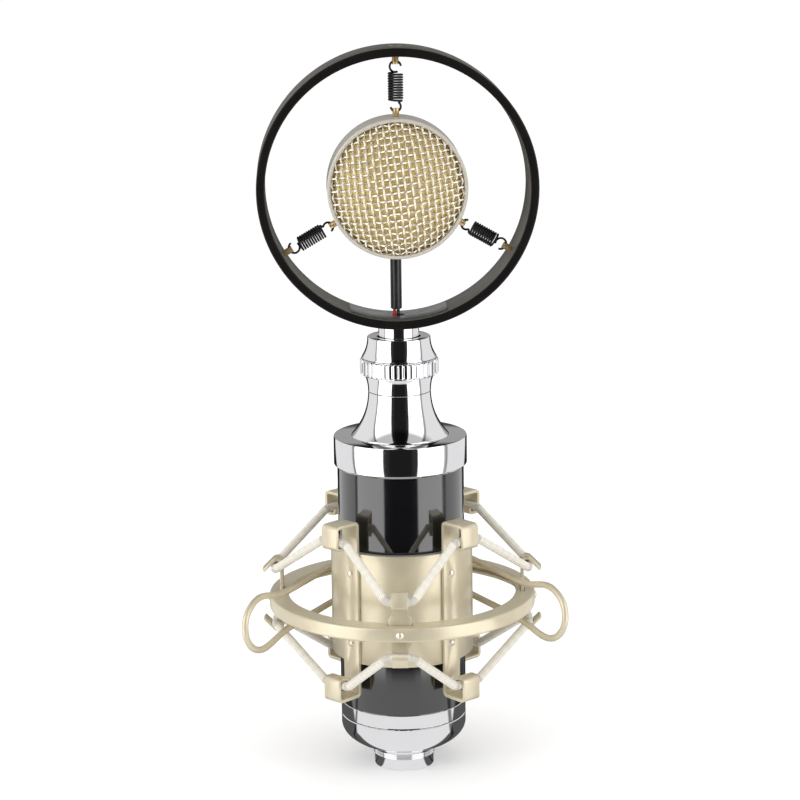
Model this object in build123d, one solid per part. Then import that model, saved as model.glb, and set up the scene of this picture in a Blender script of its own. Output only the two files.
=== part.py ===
"""Condenser microphone with a sprung round head, in an elastic shock mount with squeeze handles.

Millimetres. +Z runs up the microphone's axis and the head faces -Y. The origin is the centre of the
tail connector's end face. Angles in plan are counted from +X towards +Y, so the front is at 270.
"""
import os
from math import atan2, cos, degrees, hypot, radians, sin, sqrt

from build123d import *

# ---- fits and small clearances
RUNNING = 0.05             # radial clearance of a shaft that turns or slides in its hole
FREE = 0.3                 # gap between curved faces that move past each other
JOINT_LINE = 0.2           # visible line between two housings screwed together

# ---- tail connector
TAIL_R = 11.8              # outside of the tail shell
TAIL_BORE_R = 9.3          # socket that takes the cable plug
TAIL_PLAIN = 4.6           # plain length below the thread ridges
RIDGE_COUNT = 3
RIDGE_PITCH = 0.9
RIDGE_HEIGHT = 0.35
SOCKET_DEPTH = 14.0
PIN_R = 1.2
PIN_CIRCLE_R = 4.8
PIN_SETBACK = 3.6          # from the tail's end face to the tips of the pins
INSERT_THICK = 4.0

# ---- housing
BELL_R = 24.9              # bottom bell and bottom band
BELL_DEPTH = 11.5          # height of the bell's rounded part, as a half ellipse on the axis
BELL_EQUATOR_Z = 18.3
BELL_TOP_Z = 22.0
BELL_WALL = 1.8
BAND_HEIGHT = 5.6
BAND_BORE_R = 20.0
TUBE_R = 25.0
TUBE_WALL = 1.6
TUBE_TOP_Z = 124.6
SPIGOT_LENGTH = 4.0        # how far the band's two spigots reach into the bell and the tube
CAP_R = 26.3
CAP_HEIGHT = 11.2
CAP_WALL = 3.0
CAP_BEVEL = 0.9

# ---- neck
NECK_FOOT_R = 19.3
NECK_FOOT_HEIGHT = 1.2
NECK_WAIST_R = 12.4
NECK_SEAM_Z = TUBE_TOP_Z + CAP_HEIGHT + 17.6
NECK_BORE_R = 8.05
PLUG_SPIGOT_DEPTH = 14.0
PLUG_TOP_R = 13.6
PLUG_TOP_Z = NECK_SEAM_Z + 6.6
PLUG_CORE_R = 10.0         # threaded core inside the lock ring and the collar
LOCK_RING_R = 15.45
LOCK_RING_HEIGHT = 6.6
COLLAR_BOTTOM_R = 14.7
COLLAR_TOP_R = 12.4
COLLAR_TOP_Z = PLUG_TOP_Z + 15.4
BOSS_R = 8.0
BOSS_GAP = 0.6             # dark ring between the boss and the collar's mouth
WIRE_DUCT_R = 3.0

# ---- hoop and sprung head
HOOP_R = 54.5
HOOP_WALL = 3.4
HOOP_DEPTH = 23.2
HOOP_Z = COLLAR_TOP_Z + 4.4 + HOOP_R
HEAD_R = 27.2
HEAD_WALL = 1.3
HEAD_DEPTH = 19.5
DOME_HEIGHT = 11.0
MESH_THICK = 1.0
MESH_GAP = 0.6             # between the coarse outer mesh and the fine inner mesh
FINE_MESH_THICK = 0.3
DOME_SETBACK = 1.2         # from the rim's edge to the mesh's edge
CAPSULE_R = 17.0
CAPSULE_THICK = 7.0
MEMBRANE_THICK = 0.3
CLAMP_RING_WIDTH = 3.0
POST_R = 1.3
POST_EYE_R = 0.52
HEAD_POST_LENGTH = 3.2
HOOP_POST_LENGTH = 3.7
POST_SCREW_R = 2.3
SPRING_R = 3.1
SPRING_WIRE_R = 0.42
SPRING_COIL = (HEAD_R + 5.8, HOOP_R - 10.2)  # start and end of the close-wound coil, from the head's centre
SPRING_ANGLES = (90, 210, 330)
SPRING_EYES = (HEAD_R + 1.9, HOOP_R - HOOP_WALL - 2.4)  # where the posts hold the two hooks
STEM_X = -0.8              # the stem hangs a little off the middle
STEM_R = 2.2
STEM_END_Z = HOOP_Z - 48.1
WIRE_R = 0.62
WIRE_END_Z = PLUG_TOP_Z + 6.0
FLOOR_HOLE_R = 2.6
PLATE_LENGTH = 39.0        # plain plate on the hoop's floor
PLATE_WIDTH = 17.0
PLATE_THICK = 0.4

# ---- inner works
RAIL_WIDTH = 7.0
RAIL_THICK = 2.0
RAIL_X = 18.6
BOARD_WIDTH = 30.0
BOARD_LENGTH = 78.0
BOARD_THICK = 1.6
BOARD_Z = 36.0

# ---- shock mount: cradle
MOUNT_TURN = -3.5          # how far the mount is turned about the microphone
CRADLE_Z = 71.0            # middle height of the sleeve
SLEEVE_R = 28.1
SLEEVE_WALL = 1.1
SLEEVE_HEIGHT = 44.6
STRIP_FRONT = 42.5         # front hook strips, either side of the front
STRIP_REAR = 45.0          # rear hook strips, either side of the back
STRIP_WIDTH = 8.0
STRIP_THICK = 1.2
SEAM_PAST_STRIP = 3.0      # the jaws start this far behind the front strips' middle line
REAR_GAP = 8.0
HOOK_TOP = 35.5            # from the cradle's middle to the outside of the hook's bend
HOOK_REACH = 11.2          # from the strip to the outer leg of the hook
HOOK_DROP = 8.7
HOOK_CURL = 4.9
HOOK_CURL_RISE = 2.2
HOOK_BEND_R = 1.4
RIVET_R = 1.6
RIVET_HEAD = 0.9
RIVET_SHANK_R = 0.9
RIVET_OFFSET = 14.0        # rivets above and below the cradle's middle

# ---- shock mount: ring
RING_R = 52.8
RING_Z = (66.7, 72.4)
RING_WALL = 1.2
FLANGE_WIDTH = 7.5
LOWER_FLANGE_WIDTH = 3.2
BRACKET_R = RING_R - 4.9   # middle of the bracket strap's thickness
BRACKET_THICK = 1.2
BRACKET_WIDTH = 6.2
BRACKET_WAIST_WIDTH = 9.0
BRACKET_BEND = 17.0        # height of the tongue's bend above and below the cradle's middle
TONGUE_REACH = 7.2
SLOT_CLEAR = 0.4
ELASTIC_R = 1.7
ELASTIC_BEND_R = 2.6
ELASTIC_SNUG = 0.12        # gap between the elastic and the hooks that hold it

# ---- squeeze handles
HANDLE_WIRE_R = 1.3
HANDLE_OFFSET = SLEEVE_R + 4.9  # from the microphone's axis to the wire's straight run
HANDLE_GAP = 15.0          # between a handle's upper and lower arms
HANDLE_STEP = 2.3          # the right handle sits this much higher than the left
HANDLE_MID_Z = 70.85
HANDLE_SPLAY = {"left": 24.5, "right": 29.5}
HANDLE_UPPER_LOOP = ((41.0, 0.0), (58.5, 4.6), (70.9, 0.2))
HANDLE_LOWER_LOOP = ((69.9, 4.8), (61.5, -2.1), (53.5, -3.0), (37.9, 0.0))
HANDLE_BEND_R = 6.0
ANCHOR_ANGLE = 24.0        # from the back of the mount to where the wire bends towards the jaw
ANCHOR_WIDTH = 8.0
ANCHOR_THICK = 2.2
ANCHOR_BEND_R = 2.5

# ---- stand swivel
PIVOT_Y = RING_R + 13.2
KNUCKLE_R = 6.5
TONGUE_HALF = 4.0
EAR_THICK = 4.0
SOCKET_R = 11.0
SOCKET_LENGTH = 18.0
THREAD_R = 7.45
BOLT_R = 2.5
KNOB_R = 9.0
KNOB_LENGTH = 11.0
LUG_WIDTH = 18.0
LUG_HEIGHT = 14.0
LUG_THICK = 3.4

# ---- worked out from the sizes above
BAND_TOP_Z = BELL_TOP_Z + JOINT_LINE + BAND_HEIGHT
TUBE_BORE_R = TUBE_R - TUBE_WALL
CAP_TOP_Z = TUBE_TOP_Z + CAP_HEIGHT
HOOP_INNER_R = HOOP_R - HOOP_WALL
HOOP_FLOOR_Z = HOOP_Z - HOOP_INNER_R
HOOP_BASE_Z = HOOP_Z - HOOP_R
HEAD_BORE_R = HEAD_R - HEAD_WALL
PLUG_FOOT_Z = NECK_SEAM_Z + JOINT_LINE
LOCK_RING_Z = (PLUG_TOP_Z + JOINT_LINE, PLUG_TOP_Z + JOINT_LINE + LOCK_RING_HEIGHT)
COLLAR_FOOT_Z = LOCK_RING_Z[1] + JOINT_LINE
SLEEVE_Z = (CRADLE_Z - SLEEVE_HEIGHT / 2, CRADLE_Z + SLEEVE_HEIGHT / 2)
LINER_R = TUBE_R + FREE
SEAM_ANGLE = degrees(SEAM_PAST_STRIP / SLEEVE_R)
RING_MID_Z = sum(RING_Z) / 2
PIVOT_Z = RING_MID_Z
UP = (Align.CENTER, Align.CENTER, Align.MIN)


def disc(radius, low, high):
    """A cylinder on the microphone's axis between two heights."""
    return Pos(0, 0, low) * Cylinder(radius, high - low, align=UP)


def tube(outer, inner, low, high):
    """A plain ring on the microphone's axis."""
    return disc(outer, low, high) - disc(inner, low - 1, high + 1)


def turned(*edges):
    """A solid of revolution from a closed outline drawn as radius and height."""
    return revolve(Plane.XZ * make_face(edges), axis=Axis.Z)


def sector(outer, inner, start, end, low, high):
    """A curved wall between two plan angles."""
    at = lambda radius, angle: (radius * cos(radians(angle)), radius * sin(radians(angle)))
    outline = make_face([
        CenterArc((0, 0), outer, start, end - start),
        Line(at(outer, end), at(inner, end)),
        CenterArc((0, 0), inner, start, end - start),
        Line(at(inner, start), at(outer, start)),
    ])
    return Pos(0, 0, low) * extrude(outline, high - low)


def radial(angle, radius, height):
    """A place at a plan angle, with its Z pointing outwards from the axis and its Y up."""
    return Rot(0, 0, angle) * Pos(radius, 0, height) * Rot(0, 90, 0) * Rot(0, 0, 90)


def outward(angle, start, end, height, radius):
    """A round bar that points away from the axis, between two radii."""
    return radial(angle, start, height) * Cylinder(radius, end - start, align=UP)


def in_hoop(angle, distance):
    """A place in the hoop's plane, at an angle from +X towards +Z, with its Z pointing outwards."""
    return Pos(0, 0, HOOP_Z) * Rot(0, -angle, 0) * Pos(distance, 0, 0) * Rot(0, 90, 0)


# ---------------------------------------------------------------- microphone body
def tail_shell():
    """Connector shell: plain end, thread ridges, and the shoulder that the bell sits on."""
    top = SOCKET_DEPTH + INSERT_THICK
    shell = tube(TAIL_R, TAIL_BORE_R, 0, top)
    for index in range(RIDGE_COUNT):
        low = TAIL_PLAIN + index * RIDGE_PITCH
        middle, high = low + RIDGE_PITCH * 0.4, low + RIDGE_PITCH * 0.8
        ridge = Polyline((TAIL_R - 0.2, low), (TAIL_R, low), (TAIL_R + RIDGE_HEIGHT, middle),
                         (TAIL_R, high), (TAIL_R - 0.2, high), close=True)
        shell += turned(*ridge.edges())
    return shell


def bell_height(radius, shrink=0.0):
    """Height of the bell's outside at a radius, or of its inside when shrunk by its wall."""
    across, tall = BELL_R - shrink, BELL_DEPTH - shrink
    return BELL_EQUATOR_Z - tall * sqrt(1 - (radius / across) ** 2)


def bell_solid(radius, depth, low_r, top):
    """The bell's shape as a full solid, from a small flat foot up to its top."""
    foot = BELL_EQUATOR_Z - depth * sqrt(1 - (low_r / radius) ** 2)
    start = -degrees(atan2(sqrt(1 - (low_r / radius) ** 2), low_r / radius))
    arc = EllipticalCenterArc((0, BELL_EQUATOR_Z), radius, depth, start, arc_size=-start)
    return turned(
        Line((0, foot), arc @ 0),
        arc,
        Line(arc @ 1, (radius, top)),
        Line((radius, top), (0, top)),
        Line((0, top), (0, foot)),
    )


def bottom_bell():
    """Rounded bottom of the housing, bored for the tail shell and for the band's spigot."""
    bell = bell_solid(BELL_R, BELL_DEPTH, TAIL_R, BELL_TOP_Z)
    bell -= bell_solid(BELL_R - BELL_WALL, BELL_DEPTH - BELL_WALL, TAIL_R, BELL_TOP_Z + 1)
    return bell - disc(TAIL_R + RUNNING, 0, BELL_TOP_Z)


def bottom_band():
    """Chassis ring between the bell and the tube, with a spigot into each."""
    low, high = BELL_TOP_Z + JOINT_LINE, BAND_TOP_Z
    band = disc(BELL_R, low, high)
    band += disc(BELL_R - BELL_WALL - RUNNING, low - SPIGOT_LENGTH, low)
    band += disc(TUBE_BORE_R - RUNNING, high, high + SPIGOT_LENGTH)
    return band - disc(BAND_BORE_R, 0, TUBE_TOP_Z)


def top_cap():
    """Flat-topped cap over the tube, with a bevelled skirt and a hole for the neck's wiring."""
    outer = turned(*Polyline(
        (0, TUBE_TOP_Z - CAP_BEVEL), (TUBE_R + RUNNING, TUBE_TOP_Z - CAP_BEVEL), (CAP_R, TUBE_TOP_Z),
        (CAP_R, CAP_TOP_Z - 0.3), (CAP_R - 0.3, CAP_TOP_Z), (0, CAP_TOP_Z), close=True).edges())
    outer -= disc(TUBE_R + RUNNING, TUBE_TOP_Z - CAP_BEVEL - 1, TUBE_TOP_Z)
    outer -= disc(TUBE_BORE_R, TUBE_TOP_Z - 1, CAP_TOP_Z - CAP_WALL)
    return outer - disc(NECK_BORE_R, TUBE_TOP_Z, CAP_TOP_Z + 1)


def neck_socket():
    """Flared foot of the neck, bored for the head's plug."""
    foot = CAP_TOP_Z + NECK_FOOT_HEIGHT
    rise, spread = NECK_SEAM_Z - foot, NECK_FOOT_R - 0.3 - NECK_WAIST_R
    flare_r = (rise ** 2 + spread ** 2) / (2 * spread)
    flare = ThreePointArc(
        (NECK_FOOT_R - 0.3, foot),
        (NECK_WAIST_R + flare_r - sqrt(flare_r ** 2 - (rise / 2) ** 2), NECK_SEAM_Z - rise / 2),
        (NECK_WAIST_R, NECK_SEAM_Z))
    outline = Polyline((NECK_WAIST_R, NECK_SEAM_Z), (NECK_BORE_R, NECK_SEAM_Z), (NECK_BORE_R, CAP_TOP_Z),
                       (NECK_FOOT_R, CAP_TOP_Z), (NECK_FOOT_R, foot - 0.3), (NECK_FOOT_R - 0.3, foot))
    return turned(flare, *outline.edges())


def xlr_insert():
    """Insulating disc that holds the three contact pins."""
    insert = disc(TAIL_BORE_R - RUNNING, SOCKET_DEPTH, SOCKET_DEPTH + INSERT_THICK)
    for angle in (0, 120, 240):
        insert -= Rot(0, 0, angle - 90) * Pos(PIN_CIRCLE_R, 0, 0) * disc(PIN_R + 0.01, 0, 40)
    return insert


def xlr_pins():
    """Three round-nosed contact pins."""
    pin = disc(PIN_R, PIN_SETBACK, SOCKET_DEPTH + INSERT_THICK + 2)
    pin = fillet(pin.faces().sort_by(Axis.Z)[0].edges(), PIN_R * 0.6)
    return Compound([Rot(0, 0, angle - 90) * Pos(PIN_CIRCLE_R, 0, 0) * pin for angle in (0, 120, 240)])


def chassis_rails():
    """Two flat rails between the bottom band and the cap, which carry the circuit board."""
    low, high = BAND_TOP_Z - 4, TUBE_TOP_Z + CAP_HEIGHT - CAP_WALL
    rail = Pos(0, 0, low) * Box(RAIL_THICK, RAIL_WIDTH, high - low, align=UP)
    return Compound([Pos(side * RAIL_X, 0, 0) * rail for side in (-1, 1)])


def circuit_board():
    """Board that spans the two rails."""
    place = Pos(0, RAIL_WIDTH / 2 + BOARD_THICK / 2, BOARD_Z)
    return place * Box(BOARD_WIDTH, BOARD_THICK, BOARD_LENGTH, align=UP)


def board_components():
    """Capacitors and small parts soldered to the board's front."""
    face = RAIL_WIDTH / 2
    parts = []
    for x, z, radius, length in ((-8, 20, 4.0, 12), (8, 22, 4.0, 12), (-7, 38, 3.0, 10), (8, 44, 5.0, 14)):
        parts.append(Pos(x, face - radius, BOARD_Z + z) * Cylinder(radius, length, align=UP))
    for index in range(6):
        place = Pos(-11 + index * 4.4, face - 1.2, BOARD_Z + 64)
        parts.append(place * Cylinder(1.2, 7, align=UP))
    return Compound(parts)


# ---------------------------------------------------------------- neck and hoop
def neck_plug():
    """Upper part of the neck: spigot in the socket, flared shoulder and threaded core."""
    rise, spread = PLUG_TOP_Z - PLUG_FOOT_Z, PLUG_TOP_R - NECK_WAIST_R
    flare_r = (rise ** 2 + spread ** 2) / (2 * spread)
    flare = ThreePointArc(
        (NECK_WAIST_R, PLUG_FOOT_Z),
        (NECK_WAIST_R + flare_r - sqrt(flare_r ** 2 - (rise / 2) ** 2), PLUG_FOOT_Z + rise / 2),
        (PLUG_TOP_R, PLUG_TOP_Z))
    shoulder = turned(flare, *Polyline((PLUG_TOP_R, PLUG_TOP_Z), (0, PLUG_TOP_Z), (0, PLUG_FOOT_Z),
                                       (NECK_WAIST_R, PLUG_FOOT_Z)).edges())
    plug = shoulder + disc(NECK_BORE_R - RUNNING, NECK_SEAM_Z - PLUG_SPIGOT_DEPTH, PLUG_FOOT_Z)
    plug += disc(PLUG_CORE_R, PLUG_TOP_Z, COLLAR_FOOT_Z)
    return plug - disc(WIRE_DUCT_R, 0, HOOP_Z)


def lock_ring():
    """Knurled ring that locks the head's turn: bevelled edges and a ribbed grip."""
    low, high = LOCK_RING_Z
    bore, edge = PLUG_CORE_R + RUNNING, LOCK_RING_R - 0.6
    ring = turned(*Polyline(
        (bore, low), (edge, low), (LOCK_RING_R, low + 0.6), (LOCK_RING_R, high - 0.6), (edge, high),
        (bore, high), close=True).edges())
    groove = Pos(LOCK_RING_R, 0, (low + high) / 2) * Rot(0, 0, 45) * Box(0.7, 0.7, LOCK_RING_HEIGHT - 1.6)
    return ring - [Rot(0, 0, index * 10) * groove for index in range(36)]


def neck_collar():
    """Waisted collar above the lock ring, with a wide mouth for the hoop's boss."""
    rise, spread = COLLAR_TOP_Z - COLLAR_FOOT_Z, COLLAR_BOTTOM_R - COLLAR_TOP_R
    flare_r = (rise ** 2 + spread ** 2) / (2 * spread)
    flare = ThreePointArc(
        (COLLAR_BOTTOM_R, COLLAR_FOOT_Z),
        (COLLAR_TOP_R + flare_r - sqrt(flare_r ** 2 - (rise / 2) ** 2), COLLAR_FOOT_Z + rise / 2),
        (COLLAR_TOP_R, COLLAR_TOP_Z))
    collar = turned(flare, *Polyline((COLLAR_TOP_R, COLLAR_TOP_Z), (0, COLLAR_TOP_Z), (0, COLLAR_FOOT_Z),
                                     (COLLAR_BOTTOM_R, COLLAR_FOOT_Z)).edges())
    collar -= disc(BOSS_R + BOSS_GAP, COLLAR_FOOT_Z + 3, COLLAR_TOP_Z + 1)
    return collar - disc(WIRE_DUCT_R, 0, COLLAR_TOP_Z)


def hoop_cylinder(radius, depth):
    """A cylinder in the hoop's place, with its axis front to back."""
    return Pos(0, 0, HOOP_Z) * Rot(90, 0, 0) * Cylinder(radius, depth)


def hoop_boss():
    """Short pillar under the hoop, shaped to its curve and sunk in the collar's mouth."""
    boss = disc(BOSS_R, COLLAR_FOOT_Z + 3, HOOP_BASE_Z + 3) - hoop_cylinder(HOOP_R, 60)
    return boss - disc(WIRE_DUCT_R, 0, HOOP_Z)


def hoop_band():
    """Flat-section hoop round the head, drilled for the wires and for the post screws."""
    hoop = hoop_cylinder(HOOP_R, HOOP_DEPTH) - hoop_cylinder(HOOP_INNER_R, HOOP_DEPTH + 2)
    hoop = fillet(hoop.edges().filter_by(GeomType.CIRCLE), 0.5)
    hoop -= Pos(0, 0, HOOP_BASE_Z - 3) * Cylinder(FLOOR_HOLE_R, 12, align=UP)
    for angle in SPRING_ANGLES:
        hoop -= in_hoop(angle, HOOP_INNER_R - 2) * Cylinder(RIVET_SHANK_R + RUNNING, 12, align=UP)
        hoop -= in_hoop(angle, HOOP_R - 0.9) * Cylinder(POST_SCREW_R + RUNNING, 3, align=UP)
    return hoop


def hoop_plate():
    """Thin plain plate that lies on the hoop's floor, slotted for the wires."""
    half = degrees(PLATE_LENGTH / 2 / HOOP_INNER_R)
    inner_r = HOOP_INNER_R - PLATE_THICK
    plate = sector(HOOP_INNER_R, inner_r, 270 - half, 270 + half, -PLATE_WIDTH / 2, PLATE_WIDTH / 2)
    plate = Pos(0, 0, HOOP_Z) * Rot(90, 0, 0) * plate
    return plate - Pos(0, 0, HOOP_FLOOR_Z - 2) * Cylinder(FLOOR_HOLE_R, 6, align=UP)


def spring_hook(angle, outer, wire_r, sweep_angle):
    """The hook at a spring's inner or outer end, as part of a ring in the hoop's plane."""
    edge, eye = SPRING_COIL[outer], SPRING_EYES[outer]
    ring = Torus(abs(edge - eye) / 2, wire_r, major_angle=sweep_angle)
    turn = 250 if outer else 70
    return in_hoop(angle, (eye + edge) / 2) * Rot(90, 0, 0) * Rot(0, 0, turn) * ring


def hoop_posts():
    """Three brass posts that stand inwards from the hoop, with an eye for a spring hook."""
    posts = []
    for angle in SPRING_ANGLES:
        foot = in_hoop(angle, HOOP_INNER_R - HOOP_POST_LENGTH)
        post = foot * Cylinder(POST_R, HOOP_POST_LENGTH + 1, align=UP)
        post &= hoop_cylinder(HOOP_INNER_R, HOOP_DEPTH)
        posts.append(post - spring_hook(angle, True, POST_EYE_R, 360))
    return Compound(posts)


def hoop_post_screws():
    """Countersunk screws through the hoop into the three posts."""
    screws = []
    for angle in SPRING_ANGLES:
        screw = in_hoop(angle, HOOP_R - 0.9) * Cylinder(POST_SCREW_R, 0.9, align=UP)
        screw += in_hoop(angle, HOOP_INNER_R) * Cylinder(RIVET_SHANK_R, HOOP_WALL - 0.5, align=UP)
        screws.append(screw)
    return Compound(screws)


def coil_spring(angle):
    """Extension spring: the close-wound coil's outer shape and an open hook at each end."""
    start, end = SPRING_COIL
    spring = in_hoop(angle, start) * Cylinder(SPRING_R, end - start, align=UP)
    spring -= in_hoop(angle, start - 1) * Cylinder(SPRING_R - 2 * SPRING_WIRE_R, end - start + 2, align=UP)
    bridge = Box(2 * SPRING_R - 1, 2 * SPRING_WIRE_R, 2 * SPRING_WIRE_R, align=UP)
    for outer, edge in enumerate(SPRING_COIL):
        spring += spring_hook(angle, outer, SPRING_WIRE_R, 250)
        spring += in_hoop(angle, edge) * Pos(0, 0, -0.3 if outer else 0.3 - 2 * SPRING_WIRE_R) * bridge
    return spring


# ---------------------------------------------------------------- sprung head
def head_rim():
    """Satin ring of the head, with small holes for the posts and the stem."""
    rim = hoop_cylinder(HEAD_R, HEAD_DEPTH) - hoop_cylinder(HEAD_BORE_R, HEAD_DEPTH + 2)
    rim = fillet(rim.edges().filter_by(GeomType.CIRCLE), 0.4)
    for angle in SPRING_ANGLES:
        rim -= in_hoop(angle, HEAD_BORE_R - 1) * Cylinder(RIVET_SHANK_R, 4, align=UP)
    return rim - Pos(STEM_X, 0, HOOP_Z - HEAD_R - 2) * Cylinder(STEM_R + 0.01, 5, align=UP)


def head_posts():
    """Three brass posts on the head's rim, each with a spigot through the rim."""
    posts = []
    for angle in SPRING_ANGLES:
        post = in_hoop(angle, HEAD_R - 0.2) * Cylinder(POST_R, HEAD_POST_LENGTH + 0.2, align=UP)
        post -= hoop_cylinder(HEAD_R, HEAD_DEPTH)
        post += in_hoop(angle, HEAD_BORE_R - 0.6) * Cylinder(RIVET_SHANK_R - 0.01, 2.6, align=UP)
        posts.append(post - spring_hook(angle, False, POST_EYE_R, 360))
    return Compound(posts)


def dome(edge_r, height, thick, front):
    """A domed mesh as a thin cap of a sphere, facing front or back."""
    sphere_r = (edge_r ** 2 + height ** 2) / (2 * height)
    edge_y = HEAD_DEPTH / 2 - DOME_SETBACK
    cap = Pos(0, edge_y + height - sphere_r, 0) * (Sphere(sphere_r) - Sphere(sphere_r - thick))
    keep = Box(4 * edge_r, 2 * height + 2, 4 * edge_r, align=(Align.CENTER, Align.MIN, Align.CENTER))
    cap &= Pos(0, edge_y, 0) * keep
    return Pos(0, 0, HOOP_Z) * Rot(0, 0, 180 if front else 0) * cap


def outer_mesh(front):
    """Coarse woven mesh."""
    return dome(HEAD_BORE_R - RUNNING, DOME_HEIGHT, MESH_THICK, front)


def inner_mesh(front):
    """Fine gold mesh behind the coarse one."""
    inset = MESH_THICK + MESH_GAP
    return dome(HEAD_BORE_R - inset, DOME_HEIGHT - inset, FINE_MESH_THICK, front)


def capsule_backplate():
    """Thick electrode disc in the middle of the head."""
    return hoop_cylinder(CAPSULE_R - 0.5, CAPSULE_THICK - 2 * MEMBRANE_THICK)


def capsule_membranes():
    """The two stretched gold membranes, one on each side of the backplate."""
    place = CAPSULE_THICK / 2 - MEMBRANE_THICK / 2
    membrane = hoop_cylinder(CAPSULE_R - 0.5, MEMBRANE_THICK)
    return Compound([Pos(0, side * place, 0) * membrane for side in (-1, 1)])


def capsule_rings():
    """The two clamp rings that hold the membranes."""
    ring = hoop_cylinder(CAPSULE_R, 1.2) - hoop_cylinder(CAPSULE_R - CLAMP_RING_WIDTH, 3)
    place = CAPSULE_THICK / 2 + 0.6
    return Compound([Pos(0, side * place, 0) * ring for side in (-1, 1)])


def capsule_saddle():
    """Insulating saddle that carries the capsule above the rim's floor."""
    floor = HOOP_Z - HEAD_BORE_R
    saddle = Pos(0, 0, floor) * Box(14, 9, HEAD_BORE_R - CAPSULE_R + 3, align=UP)
    saddle &= hoop_cylinder(HEAD_BORE_R - 0.02, 30)
    saddle -= hoop_cylinder(CAPSULE_R + 0.05, 30)
    return saddle - Pos(STEM_X, 0, floor - 2) * Cylinder(STEM_R + 0.01, 5, align=UP)


def wire_place(side, height):
    """Where one of the capsule's two wires runs, side by side in the stem."""
    return Pos(STEM_X + side * WIRE_R * 1.15, 0, height)


def stem_sleeve():
    """Black insulating sleeve over the capsule's wires."""
    top = HOOP_Z - HEAD_BORE_R + 2
    sleeve = Pos(STEM_X, 0, STEM_END_Z) * Cylinder(STEM_R, top - STEM_END_Z, align=UP)
    bores = [wire_place(side, STEM_END_Z - 1) * Cylinder(WIRE_R + 0.01, 60, align=UP) for side in (-1, 1)]
    return sleeve - bores


def capsule_wires():
    """Two insulated wires from the capsule, through the sleeve and the hoop's floor, into the neck."""
    length = HOOP_Z - HEAD_BORE_R + 1.9 - WIRE_END_Z
    return Compound([wire_place(side, WIRE_END_Z) * Cylinder(WIRE_R, length, align=UP) for side in (-1, 1)])


# ---------------------------------------------------------------- shock mount: cradle
def strip_angles():
    """Plan angle of each hook strip."""
    return {"front_left": 270 - STRIP_FRONT, "front_right": 270 + STRIP_FRONT,
            "rear_right": 90 - STRIP_REAR, "rear_left": 90 + STRIP_REAR}


def jaw_span(side):
    """Start and end angle of a jaw, which runs from a front seam round to the rear gap."""
    gap = degrees(REAR_GAP / 2 / SLEEVE_R)
    line = degrees(JOINT_LINE / SLEEVE_R)
    left = (90 + gap, 270 - STRIP_FRONT - SEAM_ANGLE - line)
    return left if side == "left" else (180 - left[1], 180 - left[0])


def web_span():
    """Start and end angle of the fixed front part of the sleeve."""
    half = STRIP_FRONT + SEAM_ANGLE
    return 270 - half, 270 + half


def curved_wall(span, outer, inner):
    """A sleeve or liner part over the cradle's height."""
    return sector(outer, inner, span[0], span[1], *SLEEVE_Z)


def rivet_places(angle):
    """The two rivet heights on one strip."""
    return [(angle, CRADLE_Z + side * RIVET_OFFSET) for side in (-1, 1)]


def strip_holes(names):
    """Bars that drill the rivet holes of the named strips."""
    angles = strip_angles()
    return [outward(angle, SLEEVE_R - 4, SLEEVE_R + 4, height, RIVET_SHANK_R + RUNNING)
            for name in names for angle, height in rivet_places(angles[name])]


def sleeve_part(span, names):
    """One metal part of the sleeve, drilled for its strips' rivets."""
    return curved_wall(span, SLEEVE_R, SLEEVE_R - SLEEVE_WALL) - strip_holes(names)


def liner_part(span):
    """Felt lining of one sleeve part."""
    return curved_wall(span, SLEEVE_R - SLEEVE_WALL, LINER_R)


def bent_strip(points, bend_r, width, thick):
    """A flat strip bent along a line drawn as radius and height, on the +X side."""
    line = FilletPolyline(*points, radius=bend_r)
    return extrude(Plane.XZ * trace(line, thick), width / 2, both=True)


def hook_strip(name):
    """A riveted strip with a J hook at its top and its bottom, turned away from the sleeve."""
    near = SLEEVE_R + STRIP_THICK / 2
    far = near + HOOK_REACH
    top = HOOK_TOP - STRIP_THICK / 2
    foot = top - HOOK_DROP
    curl = far - HOOK_CURL
    hook = [(near, top), (far, top), (far, foot), (curl, foot), (curl, foot + HOOK_CURL_RISE)]
    line = [(radius, CRADLE_Z + height) for radius, height in reversed(hook)]
    line += [(radius, CRADLE_Z - height) for radius, height in hook]
    strip = bent_strip(line, HOOK_BEND_R, STRIP_WIDTH, STRIP_THICK)
    return Rot(0, 0, strip_angles()[name]) * strip - strip_holes([name])


def strip_rivets(names):
    """Dome-headed rivets that hold strips to the sleeve."""
    rivets = []
    angles = strip_angles()
    outside = SLEEVE_R + STRIP_THICK
    for name in names:
        for angle, height in rivet_places(angles[name]):
            ball = (RIVET_R ** 2 + RIVET_HEAD ** 2) / (2 * RIVET_HEAD)
            head = radial(angle, outside + RIVET_HEAD - ball, height) * Sphere(ball)
            head &= radial(angle, outside, height) * Cylinder(2 * ball, 4, align=UP)
            rivets.append(head + outward(angle, SLEEVE_R - SLEEVE_WALL, outside, height, RIVET_SHANK_R))
    return Compound(rivets)


# ---------------------------------------------------------------- squeeze handles
def handle_heights(side):
    """Heights of a handle's upper and lower arms."""
    middle = HANDLE_MID_Z + (HANDLE_STEP / 2 if side == "right" else -HANDLE_STEP / 2)
    return middle + HANDLE_GAP / 2, middle - HANDLE_GAP / 2


def anchor_directions():
    """Outward and sideways directions where the left handle's wire meets its jaw."""
    angle = radians(90 + ANCHOR_ANGLE)
    return Vector(cos(angle), sin(angle), 0), Vector(-sin(angle), cos(angle), 0)


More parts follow.
